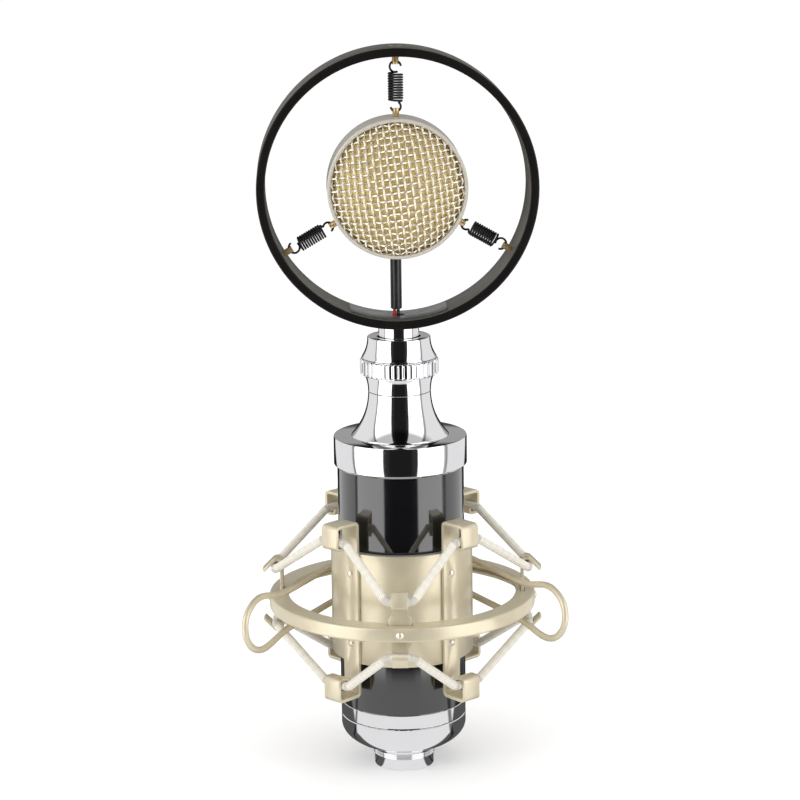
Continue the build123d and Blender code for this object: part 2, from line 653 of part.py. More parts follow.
def handle_arm(height, tangent):
    """One arm of the left handle, from the jaw round the back to where its straight run starts."""
    outwards, sideways = anchor_directions()
    centre = outwards * (HANDLE_OFFSET - ANCHOR_BEND_R) + Vector(0, 0, height)
    start = centre - sideways * ANCHOR_BEND_R
    foot = Line(start - outwards * (centre.dot(outwards) - SLEEVE_R - 0.5), start)
    turn = CenterArc(centre, ANCHOR_BEND_R, ANCHOR_ANGLE, 90)
    around = CenterArc((0, 0, height), HANDLE_OFFSET, 90 + ANCHOR_ANGLE, tangent - 90 - ANCHOR_ANGLE)
    return [foot, turn, around]


def handle_wire(side):
    """A bent wire handle: two arms from a jaw's back, joined by a flared loop in front of the ring."""
    upper, lower = handle_heights(side)
    tangent = 180 - HANDLE_SPLAY[side]
    across = Vector(cos(radians(tangent)), sin(radians(tangent)), 0) * HANDLE_OFFSET
    along = Vector(-sin(radians(tangent)), cos(radians(tangent)), 0)
    loop = [across + Vector(0, 0, upper)]
    loop += [across + along * run + Vector(0, 0, upper + rise) for run, rise in HANDLE_UPPER_LOOP]
    loop += [across + along * run + Vector(0, 0, lower + rise) for run, rise in HANDLE_LOWER_LOOP]
    loop += [across + Vector(0, 0, lower)]
    loop = FilletPolyline(*loop, radius=HANDLE_BEND_R)
    path = Wire(handle_arm(upper, tangent) + list(loop.edges()) + handle_arm(lower, tangent))
    wire = sweep(Plane(origin=path @ 0, z_dir=path % 0) * Circle(HANDLE_WIRE_R), path=path)
    return wire if side == "left" else mirror(wire, Plane.YZ)


def handle_anchor(side):
    """Pad on a jaw that both ends of a handle's wire are set into."""
    outwards, sideways = anchor_directions()
    half = degrees(ANCHOR_WIDTH / 2 / SLEEVE_R)
    centre = 90 + ANCHOR_ANGLE - degrees(ANCHOR_BEND_R / SLEEVE_R)
    upper, lower = handle_heights(side)
    pad = sector(SLEEVE_R + ANCHOR_THICK, SLEEVE_R, centre - half, centre + half, lower - 3, upper + 3)
    for height in (upper, lower):
        foot = outwards * (SLEEVE_R + 0.5) - sideways * ANCHOR_BEND_R + Vector(0, 0, height)
        pad -= Plane(origin=foot, z_dir=outwards) * Cylinder(HANDLE_WIRE_R + 0.01, 5, align=UP)
    return pad if side == "left" else mirror(pad, Plane.YZ)


# ---------------------------------------------------------------- shock mount: ring
def mount_ring():
    """Channel-section ring, slotted for the four brackets and drilled for their rivets."""
    low, high = RING_Z
    ring = tube(RING_R, RING_R - RING_WALL, low, high)
    ring += tube(RING_R, RING_R - FLANGE_WIDTH, high - RING_WALL, high)
    ring += tube(RING_R, RING_R - LOWER_FLANGE_WIDTH, low, low + RING_WALL)
    ring = fillet(ring.edges().filter_by(GeomType.CIRCLE).filter_by(lambda edge: edge.radius == RING_R), 0.5)
    slot = (BRACKET_THICK + 2 * SLOT_CLEAR, BRACKET_WAIST_WIDTH + 2 * SLOT_CLEAR)
    for angle in range(0, 360, 90):
        ring -= Rot(0, 0, angle) * Pos(BRACKET_R, 0, high) * Box(slot[0], slot[1], 6)
        ring -= outward(angle, RING_R - 4, RING_R + 2, RING_MID_Z, RIVET_SHANK_R + RUNNING)
    return ring


def ring_bracket():
    """Strap with a waist plate and a slanted tongue at each end, on the +X side."""
    high = CRADLE_Z + BRACKET_BEND
    low = CRADLE_Z - BRACKET_BEND
    line = [(BRACKET_R + TONGUE_REACH, high - TONGUE_REACH), (BRACKET_R, high), (BRACKET_R, low),
            (BRACKET_R + TONGUE_REACH, low + TONGUE_REACH)]
    strap = bent_strip(line, 1.8, BRACKET_WIDTH, BRACKET_THICK)
    waist = Pos(BRACKET_R, 0, RING_MID_Z) * Box(BRACKET_THICK, BRACKET_WAIST_WIDTH, 13)
    waist = chamfer(waist.edges().filter_by(Axis.X), 1.2)
    return strap + waist - outward(0, BRACKET_R - 3, BRACKET_R + 3, RING_MID_Z, RIVET_SHANK_R + RUNNING)


def ring_brackets():
    """The four brackets inside the ring."""
    return Compound([Rot(0, 0, angle) * ring_bracket() for angle in range(0, 360, 90)])


def bracket_rivets():
    """Shouldered rivets that hold each bracket to the ring's wall."""
    rivets = []
    ball = (RIVET_R ** 2 + RIVET_HEAD ** 2) / (2 * RIVET_HEAD)
    for angle in range(0, 360, 90):
        if angle == 90:
            head = outward(angle, RING_R, RING_R + 0.6, RING_MID_Z, RIVET_R)
        else:
            head = radial(angle, RING_R + RIVET_HEAD - ball, RING_MID_Z) * Sphere(ball)
            head &= radial(angle, RING_R - 0.1, RING_MID_Z) * Cylinder(2 * ball, 4, align=UP)
            head -= disc(RING_R, RING_MID_Z - 5, RING_MID_Z + 5)
        shoulder = outward(angle, BRACKET_R + BRACKET_THICK / 2, RING_R - RING_WALL - 0.1, RING_MID_Z, 1.5)
        inner = BRACKET_R - BRACKET_THICK / 2
        shank = outward(angle, inner, RING_R + 0.2, RING_MID_Z, RIVET_SHANK_R)
        tail = outward(angle, inner - 0.7, inner, RING_MID_Z, RIVET_R)
        rivets.append(head + shoulder + shank + tail)
    return Compound(rivets)


def elastic_loop(upper):
    """One endless elastic, laced over four cradle hooks and four ring hooks."""
    near = SLEEVE_R + HOOK_REACH - ELASTIC_R - ELASTIC_SNUG
    near_z = HOOK_TOP - HOOK_DROP + ELASTIC_R + ELASTIC_SNUG
    far = BRACKET_R + BRACKET_THICK / 2 + ELASTIC_R + ELASTIC_SNUG
    under = (BRACKET_THICK / 2 + ELASTIC_R + ELASTIC_SNUG) * sqrt(2)
    far_z = BRACKET_BEND - (far - BRACKET_R) - under
    past = ELASTIC_R + 0.4
    hooks = [(angle, near, near_z, STRIP_WIDTH / 2 + past) for angle in strip_angles().values()]
    hooks += [(angle, far, far_z, BRACKET_WIDTH / 2 + past) for angle in range(0, 360, 90)]
    points = []
    for angle, radius, height, half in sorted(hooks):
        for side in (-half, half):
            point = Vector(radius, side, 0).rotate(Axis.Z, angle)
            points.append(point + Vector(0, 0, CRADLE_Z + (height if upper else -height)))
    path = FilletPolyline(*points, radius=ELASTIC_BEND_R, close=True)
    start = path.edges()[0]
    return sweep(Plane(origin=start @ 0, z_dir=start % 0) * Circle(ELASTIC_R), path=path)


# ---------------------------------------------------------------- stand swivel
def pivot(x):
    """A place on the tilt axis, with its Z along +X."""
    return Pos(x, PIVOT_Y, PIVOT_Z) * Rot(0, 90, 0)


def swivel_lug():
    """Saddle on the back of the ring with the tongue that the stand swivel tilts on."""
    back = RING_R + LUG_THICK
    lug = Pos(0, back, PIVOT_Z) * Box(LUG_WIDTH, 8, LUG_HEIGHT, align=(Align.CENTER, Align.MAX, Align.CENTER))
    lug -= disc(RING_R, PIVOT_Z - LUG_HEIGHT, PIVOT_Z + LUG_HEIGHT)
    tongue = Box(2 * TONGUE_HALF, PIVOT_Y - back, 9, align=(Align.CENTER, Align.MIN, Align.CENTER))
    lug += Pos(0, back, PIVOT_Z) * tongue
    lug += pivot(0) * Cylinder(KNUCKLE_R, 2 * TONGUE_HALF)
    lug -= pivot(0) * Cylinder(BOLT_R + RUNNING, 40)
    return lug - outward(90, RING_R - 2, RING_R + 0.8, RING_MID_Z, RIVET_R + 0.1)


def swivel_yoke():
    """Fork round the lug's tongue, and the threaded socket that hangs from it."""
    ear_in = TONGUE_HALF + JOINT_LINE
    base_top = PIVOT_Z - KNUCKLE_R - 1.2
    base_low = base_top - 5.5
    width = 2 * (ear_in + EAR_THICK)
    yoke = Pos(0, PIVOT_Y, base_low) * Box(width, 2 * KNUCKLE_R, base_top - base_low, align=UP)
    for side in (-1, 1):
        x = side * (ear_in + EAR_THICK / 2)
        yoke += Pos(x, PIVOT_Y, base_low) * Box(EAR_THICK, 2 * KNUCKLE_R, PIVOT_Z - base_low, align=UP)
        yoke += pivot(x) * Cylinder(KNUCKLE_R, EAR_THICK)
    yoke += Pos(0, PIVOT_Y, base_low - SOCKET_LENGTH) * Cylinder(SOCKET_R, SOCKET_LENGTH, align=UP)
    socket_low = base_low - SOCKET_LENGTH
    yoke -= Pos(0, PIVOT_Y, socket_low - 1) * Cylinder(SOCKET_R - 1.6, SOCKET_LENGTH - 1, align=UP)
    return yoke - pivot(0) * Cylinder(BOLT_R + RUNNING, 60)


def thread_bush():
    """Brass bush in the socket, with the bore that the stand's thread screws into."""
    base_low = PIVOT_Z - KNUCKLE_R - 1.2 - 5.5
    low, high = base_low - SOCKET_LENGTH - 0.6, base_low - 2
    place = Pos(0, PIVOT_Y, low)
    bush = place * Cylinder(SOCKET_R - 1.6, high - low, align=UP)
    bush += place * Cylinder(SOCKET_R, 0.6, align=UP)
    return bush - place * Pos(0, 0, -1) * Cylinder(THREAD_R, high - low + 2, align=UP)


def tilt_bolt():
    """Bolt through the fork and the tongue, with a flat head on the far side."""
    ear_out = TONGUE_HALF + JOINT_LINE + EAR_THICK
    bolt = pivot(-ear_out - 6) * Cylinder(BOLT_R, 2 * ear_out + 6, align=UP)
    return bolt + pivot(ear_out + 0.1) * Cylinder(BOLT_R * 1.8, 2.4, align=UP) + pivot(ear_out) * Cylinder(
        BOLT_R, 0.2, align=UP)


def tilt_knob():
    """Lobed hand knob on the bolt's end."""
    ear_out = TONGUE_HALF + JOINT_LINE + EAR_THICK
    knob = pivot(-ear_out - 0.5 - KNOB_LENGTH) * Cylinder(KNOB_R, KNOB_LENGTH, align=UP)
    flute = Cylinder(2.2, 3 * KNOB_LENGTH)
    for angle in range(0, 360, 45):
        knob -= pivot(-ear_out - KNOB_LENGTH / 2) * Rot(0, 0, angle) * Pos(KNOB_R + 0.9, 0, 0) * flute
    return knob - pivot(-ear_out - 6) * Cylinder(BOLT_R + 0.01, 20, align=UP)


def microphone_nodes():
    """Every piece of the microphone, by node name."""
    nodes = {
        "tail_shell": tail_shell(),
        "xlr_insert": xlr_insert(),
        "xlr_pins": xlr_pins(),
        "bottom_bell": bottom_bell(),
        "bottom_band": bottom_band(),
        "body_tube": tube(TUBE_R, TUBE_BORE_R, BAND_TOP_Z, TUBE_TOP_Z),
        "top_cap": top_cap(),
        "neck_socket": neck_socket(),
        "chassis_rails": chassis_rails(),
        "circuit_board": circuit_board(),
        "board_components": board_components(),
        "neck_plug": neck_plug(),
        "lock_ring": lock_ring(),
        "neck_collar": neck_collar(),
        "hoop_boss": hoop_boss(),
        "hoop_band": hoop_band(),
        "hoop_plate": hoop_plate(),
        "hoop_posts": hoop_posts(),
        "hoop_post_screws": hoop_post_screws(),
        "head_rim": head_rim(),
        "head_posts": head_posts(),
        "outer_mesh_front": outer_mesh(True),
        "inner_mesh_front": inner_mesh(True),
        "outer_mesh_rear": outer_mesh(False),
        "inner_mesh_rear": inner_mesh(False),
        "capsule_backplate": capsule_backplate(),
        "capsule_membranes": capsule_membranes(),
        "capsule_rings": capsule_rings(),
        "capsule_saddle": capsule_saddle(),
        "stem_sleeve": stem_sleeve(),
        "capsule_wires": capsule_wires(),
    }
    for name, angle in zip(("top", "left", "right"), SPRING_ANGLES):
        nodes["head_spring_" + name] = coil_spring(angle)
    return nodes


def mount_nodes():
    """Every piece of the shock mount, by node name, before the mount is turned."""
    nodes = {
        "sleeve_web": sleeve_part(web_span(), ["front_left", "front_right"]),
        "web_liner": liner_part(web_span()),
        "hook_strips_front": Compound([hook_strip("front_left"), hook_strip("front_right")]),
        "rivets_front": strip_rivets(["front_left", "front_right"]),
        "mount_ring": mount_ring(),
        "ring_brackets": ring_brackets(),
        "bracket_rivets": bracket_rivets(),
        "upper_elastic": elastic_loop(True),
        "lower_elastic": elastic_loop(False),
        "swivel_lug": swivel_lug(),
        "swivel_yoke": swivel_yoke(),
        "thread_bush": thread_bush(),
        "tilt_bolt": tilt_bolt(),
        "tilt_knob": tilt_knob(),
    }
    for side, other in (("left", "right"), ("right", "left")):
        rear = "rear_" + side
        nodes["jaw_" + side] = sleeve_part(jaw_span(side), [rear])
        nodes["jaw_liner_" + side] = liner_part(jaw_span(side))
        nodes["hook_strip_" + rear] = hook_strip(rear)
        nodes["rivets_" + rear] = strip_rivets([rear])
        nodes["squeeze_handle_" + side] = handle_wire(side)
        nodes["handle_anchor_" + side] = handle_anchor(side)
    return nodes


def main():
    """Build every node and write one STEP file for each."""
    os.makedirs("parts", exist_ok=True)
    nodes = microphone_nodes()
    for name, solid in mount_nodes().items():
        nodes[name] = Rot(0, 0, MOUNT_TURN) * solid
    for name, solid in nodes.items():
        export_step(solid, f"parts/{name}.step")
    print(len(nodes), "nodes written")


if __name__ == "__main__":
    main()
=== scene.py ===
"""Visual model of a condenser microphone with a sprung round head, in an elastic shock mount.

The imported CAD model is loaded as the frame. Turned parts, wires, springs, elastics and the woven head
are built here in finer detail, and the remaining CAD pieces are copied with softened edges. Sizes are
in millimetres until a mesh is written, and +Z runs up the microphone with the head facing -Y.
"""
from __future__ import annotations

import logging
import math
from dataclasses import dataclass, field
from enum import Enum
from typing import Callable, Iterable, Protocol, Sequence

import bmesh
import bpy
from mathutils import Matrix, Vector


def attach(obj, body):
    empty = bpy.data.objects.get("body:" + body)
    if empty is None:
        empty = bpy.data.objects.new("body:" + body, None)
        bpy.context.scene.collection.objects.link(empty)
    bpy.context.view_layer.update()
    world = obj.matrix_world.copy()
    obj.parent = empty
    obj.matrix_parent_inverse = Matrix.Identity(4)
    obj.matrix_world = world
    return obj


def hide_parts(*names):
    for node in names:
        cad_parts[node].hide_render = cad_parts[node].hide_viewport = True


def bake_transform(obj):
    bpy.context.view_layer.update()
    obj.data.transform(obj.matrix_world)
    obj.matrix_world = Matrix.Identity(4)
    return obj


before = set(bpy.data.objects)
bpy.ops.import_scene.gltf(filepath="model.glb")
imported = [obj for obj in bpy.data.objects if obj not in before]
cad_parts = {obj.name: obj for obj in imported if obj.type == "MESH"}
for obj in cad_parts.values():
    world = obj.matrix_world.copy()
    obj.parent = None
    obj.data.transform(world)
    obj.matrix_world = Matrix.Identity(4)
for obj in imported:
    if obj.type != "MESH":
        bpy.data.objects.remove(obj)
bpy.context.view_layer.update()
LOG = logging.getLogger("microphone")
MM = 0.001
TURN_MOUNT = Matrix.Rotation(math.radians(-3.5), 4, "Z")
Outline = Sequence[tuple[float, float]]
Colour = tuple[float, float, float]


class Axis(Enum):
    """The line that an outline is spun about."""

    UPRIGHT = "Z"
    FRONT_TO_BACK = "Y"


class Side(Enum):
    """Left or right of the microphone as seen from the front."""

    LEFT = -1
    RIGHT = 1

    @property
    def word(self) -> str:
        """The side's name inside node names."""
        return self.name.lower()


class Maker(Protocol):
    """Anything that builds its share of the scene."""

    def build(self) -> None:
        """Makes every piece."""


# ------------------------------------------------------------------------------ finishes
class NodeSheet:
    """A node tree being written, for a material or for a shared group."""

    def __init__(self, tree: bpy.types.NodeTree) -> None:
        """Starts on a tree.

        Args:
            tree: The material's or the group's node tree.
        """
        self.tree = tree

    def add(self, kind: str, **sockets: object) -> bpy.types.Node:
        """Adds a node and sets inputs by name, with spaces written as underscores.

        Args:
            kind: The node's type name without its ShaderNode prefix.
            sockets: Input values, or output sockets to link from.

        Returns:
            The new node.
        """
        node = self.tree.nodes.new("ShaderNode" + kind)
        for name, value in sockets.items():
            self.put(node.inputs[name.replace("_", " ")], value)
        return node

    def put(self, target: bpy.types.NodeSocket, value: object) -> None:
        """Gives an input a plain value, or links it from another node's output.

        Args:
            target: The input socket.
            value: A number, a colour, or an output socket.
        """
        if isinstance(value, bpy.types.NodeSocket):
            self.tree.links.new(value, target)
        else:
            target.default_value = value

    def math(self, operation: str, first: object, second: object = 0.0) -> bpy.types.NodeSocket:
        """A Math node's result.

        Args:
            operation: The operation's name.
            first: First value or socket.
            second: Second value or socket.

        Returns:
            The output socket.
        """
        node = self.tree.nodes.new("ShaderNodeMath")
        node.operation = operation
        self.put(node.inputs[0], first)
        self.put(node.inputs[1], second)
        return node.outputs[0]

    def times(self, first: object, second: object) -> bpy.types.NodeSocket:
        """The product of two values or sockets."""
        return self.math("MULTIPLY", first, second)

    def plus(self, first: object, second: object) -> bpy.types.NodeSocket:
        """The sum of two values or sockets."""
        return self.math("ADD", first, second)

    def less(self, first: object, second: object) -> bpy.types.NodeSocket:
        """The first value or socket less the second."""
        return self.math("SUBTRACT", first, second)

    def spread(self, value: object, low: object, high: object) -> bpy.types.NodeSocket:
        """A value from 0 to 1 spread between two limits.

        Args:
            value: The socket to spread.
            low: Result at 0.
            high: Result at 1.

        Returns:
            The output socket.
        """
        node = self.add("MapRange", Value=value, To_Min=low, To_Max=high)
        return node.outputs["Result"]

    def blend(self, mask: object, first: object, second: object) -> bpy.types.NodeSocket:
        """Two colours mixed by a mask.

        Args:
            mask: 0 for the first colour, 1 for the second.
            first: A colour or a socket.
            second: A colour or a socket.

        Returns:
            The mixed colour's socket.
        """
        node = self.tree.nodes.new("ShaderNodeMix")
        node.data_type = "RGBA"
        self.put(node.inputs["Factor"], mask)
        self.put(node.inputs[6], first)
        self.put(node.inputs[7], second)
        return node.outputs[2]


def _new_group(name: str, inputs: dict[str, float], outputs: Sequence[str]) -> tuple[NodeSheet, dict, dict]:
    """Starts a shared shader group that takes a position and numbers and gives numbers.

    Args:
        name: The group's name.
        inputs: Number inputs with their defaults.
        outputs: Names of the number outputs.

    Returns:
        The sheet to write on, the group's input sockets and its output sockets, by name.
    """
    tree = bpy.data.node_groups.new(name, "ShaderNodeTree")
    tree.interface.new_socket("Position", in_out="INPUT", socket_type="NodeSocketVector")
    for label, value in inputs.items():
        tree.interface.new_socket(label, in_out="INPUT", socket_type="NodeSocketFloat").default_value = value
    for label in outputs:
        tree.interface.new_socket(label, in_out="OUTPUT", socket_type="NodeSocketFloat")
    entry = tree.nodes.new("NodeGroupInput")
    leave = tree.nodes.new("NodeGroupOutput")
    return NodeSheet(tree), {s.name: s for s in entry.outputs}, {s.name: s for s in leave.inputs}


class Effects:
    """Shared shader groups, each built once."""

    def __init__(self) -> None:
        """Builds every group."""
        self.grain = self._grain()
        self.handling = self._handling()
        self.weave = self._weave()

    @staticmethod
    def _grain() -> bpy.types.NodeTree:
        """Fine speckle with a softer, larger mottle under it."""
        sheet, given, result = _new_group(
            "surface_grain", {"Grain": 2500.0, "Mottle": 120.0}, ["Height", "Mask"])
        place = given["Position"]
        fine = sheet.add("TexNoise", Vector=place, Scale=given["Grain"], Detail=3.0, Roughness=0.6)
        broad = sheet.add("TexNoise", Vector=place, Scale=given["Mottle"], Detail=4.0, Roughness=0.55)
        sheet.put(result["Height"], fine.outputs["Fac"])
        sheet.put(result["Mask"], broad.outputs["Fac"])
        return sheet.tree

    @staticmethod
    def _handling() -> bpy.types.NodeTree:
        """Faint smudges and hairline scratches, as a roughness between two limits."""
        sheet, given, result = _new_group(
            "handling_marks", {"Clean": 0.05, "Marked": 0.15, "Smudge": 45.0}, ["Roughness", "Scratch"])
        cloud = sheet.add("TexNoise", Vector=given["Position"], Scale=given["Smudge"], Detail=5.0,
                          Distortion=1.2)
        stretch = sheet.add("Mapping", Vector=given["Position"])
        stretch.inputs["Rotation"].default_value = (0.4, 0.9, 0.3)
        stretch.inputs["Scale"].default_value = (3200.0, 90.0, 90.0)
        hair = sheet.add("TexNoise", Vector=stretch.outputs["Vector"], Scale=1.0, Detail=2.0)
        thin = sheet.add("MapRange", Value=hair.outputs["Fac"], From_Min=0.66, From_Max=0.74)
        cover = sheet.add("MapRange", Value=cloud.outputs["Fac"], From_Min=0.4, From_Max=0.68)
        total = sheet.plus(cover.outputs["Result"], sheet.times(thin.outputs["Result"], 0.4))
        sheet.put(result["Roughness"], sheet.spread(total, given["Clean"], given["Marked"]))
        sheet.put(result["Scratch"], thin.outputs["Result"])
        return sheet.tree

    @staticmethod
    def _weave() -> bpy.types.NodeTree:
        """Plain weave of threads along two directions, as a height and an open-hole mask."""
        sheet, given, result = _new_group(
            "plain_weave", {"Across": 1000.0, "Along": 1000.0}, ["Height", "Hole"])
        split = sheet.add("SeparateXYZ", Vector=given["Position"])
        waves = [sheet.math("SINE", sheet.times(split.outputs[name], given[rate]))
                 for name, rate in (("X", "Across"), ("Z", "Along"))]
        lifted = [sheet.math("ABSOLUTE", wave) for wave in waves]
        sheet.put(result["Height"], sheet.math("MAXIMUM", lifted[0], lifted[1]))
        gap = sheet.math("MAXIMUM", lifted[0], lifted[1])
        hole = sheet.add("MapRange", Value=gap, From_Min=0.62, From_Max=0.42)
        sheet.put(result["Hole"], hole.outputs["Result"])
        return sheet.tree


EFFECTS = Effects()


@dataclass(frozen=True)
class Finish:
    """What every finish has: a name and a way to make its material."""

    name: str

    def start(self) -> tuple[bpy.types.Material, NodeSheet, bpy.types.Node, bpy.types.NodeSocket]:
        """Opens a new material.

        Returns:
            The material, its sheet, its Principled shader and the object position socket.
        """
        material = bpy.data.materials.new(self.name)
        material.use_nodes = True
        sheet = NodeSheet(material.node_tree)
        shader = next(n for n in material.node_tree.nodes if n.type == "BSDF_PRINCIPLED")
        position = sheet.add("TexCoord").outputs["Object"]
        return material, sheet, shader, position

    def group(self, sheet: NodeSheet, tree: bpy.types.NodeTree, **sockets: object) -> bpy.types.Node:
        """Places a shared group.

        Args:
            sheet: The material's sheet.
            tree: The group.
            sockets: Its input values or links.

        Returns:
            The group node.
        """
        node = sheet.tree.nodes.new("ShaderNodeGroup")
        node.node_tree = tree
        for name, value in sockets.items():
            sheet.put(node.inputs[name], value)
        return node

    def relief(self, sheet: NodeSheet, shader: bpy.types.Node, height: bpy.types.NodeSocket,
               depth: float, strength: float) -> None:
        """Adds a bump to the shader.

        Args:
            sheet: The material's sheet.
            shader: The Principled shader.
            height: The height socket.
            depth: Bump depth in metres.
            strength: Bump strength.
        """
        bump = sheet.add("Bump", Height=height, Distance=depth, Strength=strength)
        sheet.put(shader.inputs["Normal"], bump.outputs["Normal"])


@dataclass(frozen=True)
class MetalFinish(Finish):
    """Bare, plated or metallic-painted metal with mottle, grain and handling marks."""

    colour: Colour
    darker: Colour
    metallic: float = 1.0
    clean: float = 0.05
    marked: float = 0.14
    smudge: float = 45.0
    grain: float = 2500.0
    grain_depth: float = 0.000004
    grain_strength: float = 0.1
    coat: float = 0.0
    coat_roughness: float = 0.1
    specular: float = 0.5

    def make(self) -> bpy.types.Material:
        """Builds the material."""
        material, sheet, shader, position = self.start()
        grain = self.group(sheet, EFFECTS.grain, Position=position, Grain=self.grain,
                           Mottle=self.smudge * 1.7)
        marks = self.group(sheet, EFFECTS.handling, Position=position, Clean=self.clean, Marked=self.marked,
                           Smudge=self.smudge)
        colour = sheet.blend(grain.outputs["Mask"], (*self.colour, 1.0), (*self.darker, 1.0))
        sheet.put(shader.inputs["Base Color"], colour)
        sheet.put(shader.inputs["Roughness"], marks.outputs["Roughness"])
        shader.inputs["Metallic"].default_value = self.metallic
        shader.inputs["Specular IOR Level"].default_value = self.specular
        shader.inputs["Coat Weight"].default_value = self.coat
        shader.inputs["Coat Roughness"].default_value = self.coat_roughness
        self.relief(sheet, shader, grain.outputs["Height"], self.grain_depth, self.grain_strength)
        return material


@dataclass(frozen=True)
class LacquerFinish(Finish):
    """Gloss lacquer with orange peel, faint dust and a clear coat."""

    colour: Colour
    flake: Colour
    peel: float = 420.0

    def make(self) -> bpy.types.Material:
        """Builds the material."""
        material, sheet, shader, position = self.start()
        peel = self.group(sheet, EFFECTS.grain, Position=position, Grain=self.peel, Mottle=260.0)
        marks = self.group(sheet, EFFECTS.handling, Position=position, Clean=0.09, Marked=0.2, Smudge=30.0)
        speck = sheet.add("TexVoronoi", Vector=position, Scale=900.0)
        dust = sheet.add("MapRange", Value=speck.outputs["Distance"], From_Min=0.09, From_Max=0.03)
        sheet.put(shader.inputs["Base Color"],
                  sheet.blend(dust.outputs["Result"], (*self.colour, 1.0), (*self.flake, 1.0)))
        sheet.put(shader.inputs["Roughness"], marks.outputs["Roughness"])
        shader.inputs["Coat Weight"].default_value = 1.0
        shader.inputs["Coat IOR"].default_value = 1.75
        shader.inputs["Coat Roughness"].default_value = 0.03
        self.relief(sheet, shader, peel.outputs["Height"], 0.00004, 0.35)
        return material


@dataclass(frozen=True)
class PlasticFinish(Finish):
    """Moulded plastic, rubber or board laminate with mottle and fine texture."""

    colour: Colour
    lighter: Colour
    clean: float = 0.35
    marked: float = 0.5
    grain: float = 1800.0
    depth: float = 0.00002

    def make(self) -> bpy.types.Material:
        """Builds the material."""
        material, sheet, shader, position = self.start()
        grain = self.group(sheet, EFFECTS.grain, Position=position, Grain=self.grain, Mottle=150.0)
        marks = self.group(sheet, EFFECTS.handling, Position=position, Clean=self.clean, Marked=self.marked,
                           Smudge=80.0)
        sheet.put(shader.inputs["Base Color"],
                  sheet.blend(grain.outputs["Mask"], (*self.colour, 1.0), (*self.lighter, 1.0)))
        sheet.put(shader.inputs["Roughness"], marks.outputs["Roughness"])
        self.relief(sheet, shader, grain.outputs["Height"], self.depth, 0.3)
        return material


@dataclass(frozen=True)
class GauzeFinish(Finish):
    """Fine woven metal gauze, bright on its threads and dark in its holes, where the dark colour is painted
    shade for the shaded inside seen through them.
    """

    thread: Colour
    # hole: painted shade, the holes' colour standing for the shaded inside of the head
    hole: Colour
    rate: float = 5200.0

    def make(self) -> bpy.types.Material:
        """Builds the material."""
        material, sheet, shader, position = self.start()
        weave = self.group(sheet, EFFECTS.weave, Position=position, Across=self.rate, Along=self.rate)
        grain = self.group(sheet, EFFECTS.grain, Position=position, Grain=900.0, Mottle=200.0)
        shaded = tuple(c * 0.7 for c in self.thread)
        bright = sheet.blend(grain.outputs["Mask"], (*self.thread, 1.0), (*shaded, 1.0))
        # the holes take the painted shade colour
        sheet.put(shader.inputs["Base Color"], sheet.blend(weave.outputs["Hole"], bright, (*self.hole, 1.0)))
        sheet.put(shader.inputs["Roughness"], sheet.spread(weave.outputs["Hole"], 0.32, 0.7))
        shader.inputs["Metallic"].default_value = 0.35
        self.relief(sheet, shader, weave.outputs["Height"], 0.00012, 0.8)
        return material


@dataclass(frozen=True)
class BraidFinish(Finish):
    """Braided elastic cord: two sets of slanting yarns round the cord, with a soft nap."""

    light: Colour
    shade: Colour
    around: float = 12.0
    along: float = 260.0

    def make(self) -> bpy.types.Material:
        """Builds the material."""
        material, sheet, shader, position = self.start()
        split = sheet.add("SeparateXYZ", Vector=sheet.add("UVMap").outputs["UV"])
        turn = sheet.times(split.outputs["Y"], math.tau * self.around / 2)
        run = sheet.times(split.outputs["X"], math.tau * self.along)
        first = sheet.math("ABSOLUTE", sheet.math("SINE", sheet.plus(run, turn)))
        second = sheet.math("ABSOLUTE", sheet.math("SINE", sheet.less(run, turn)))
        yarn = sheet.times(first, second)
        nap = self.group(sheet, EFFECTS.grain, Position=position, Grain=3200.0, Mottle=140.0)
        height = sheet.plus(yarn, sheet.times(nap.outputs["Height"], 0.35))
        sheet.put(shader.inputs["Base Color"], sheet.blend(yarn, (*self.shade, 1.0), (*self.light, 1.0)))
        sheet.put(shader.inputs["Roughness"], sheet.spread(nap.outputs["Height"], 0.62, 0.9))
        shader.inputs["Sheen Weight"].default_value = 0.3
        shader.inputs["Sheen Roughness"].default_value = 0.4
        self.relief(sheet, shader, height, 0.0002, 0.7)
        return material


@dataclass(frozen=True)
class FeltFinish(Finish):
    """Pressed felt with a fibrous nap."""

    colour: Colour
    fibre: Colour

    def make(self) -> bpy.types.Material:
        """Builds the material."""
        material, sheet, shader, position = self.start()
        grain = self.group(sheet, EFFECTS.grain, Position=position, Grain=1500.0, Mottle=400.0)
        sheet.put(shader.inputs["Base Color"],
                  sheet.blend(grain.outputs["Height"], (*self.colour, 1.0), (*self.fibre, 1.0)))
        sheet.put(shader.inputs["Roughness"], sheet.spread(grain.outputs["Mask"], 0.85, 1.0))
        shader.inputs["Sheen Weight"].default_value = 0.5
        self.relief(sheet, shader, grain.outputs["Height"], 0.0003, 0.8)
        return material


@dataclass
class FinishShelf:
    """Every material of the microphone, made once."""

    made: dict[str, bpy.types.Material] = field(default_factory=dict)

    def take(self, finish: Finish) -> bpy.types.Material:
        """The material of a finish.

        Args:
            finish: The finish wanted.

        Returns:
            Its material, made on first use.
        """
        if finish.name not in self.made:
            self.made[finish.name] = finish.make()
        return self.made[finish.name]


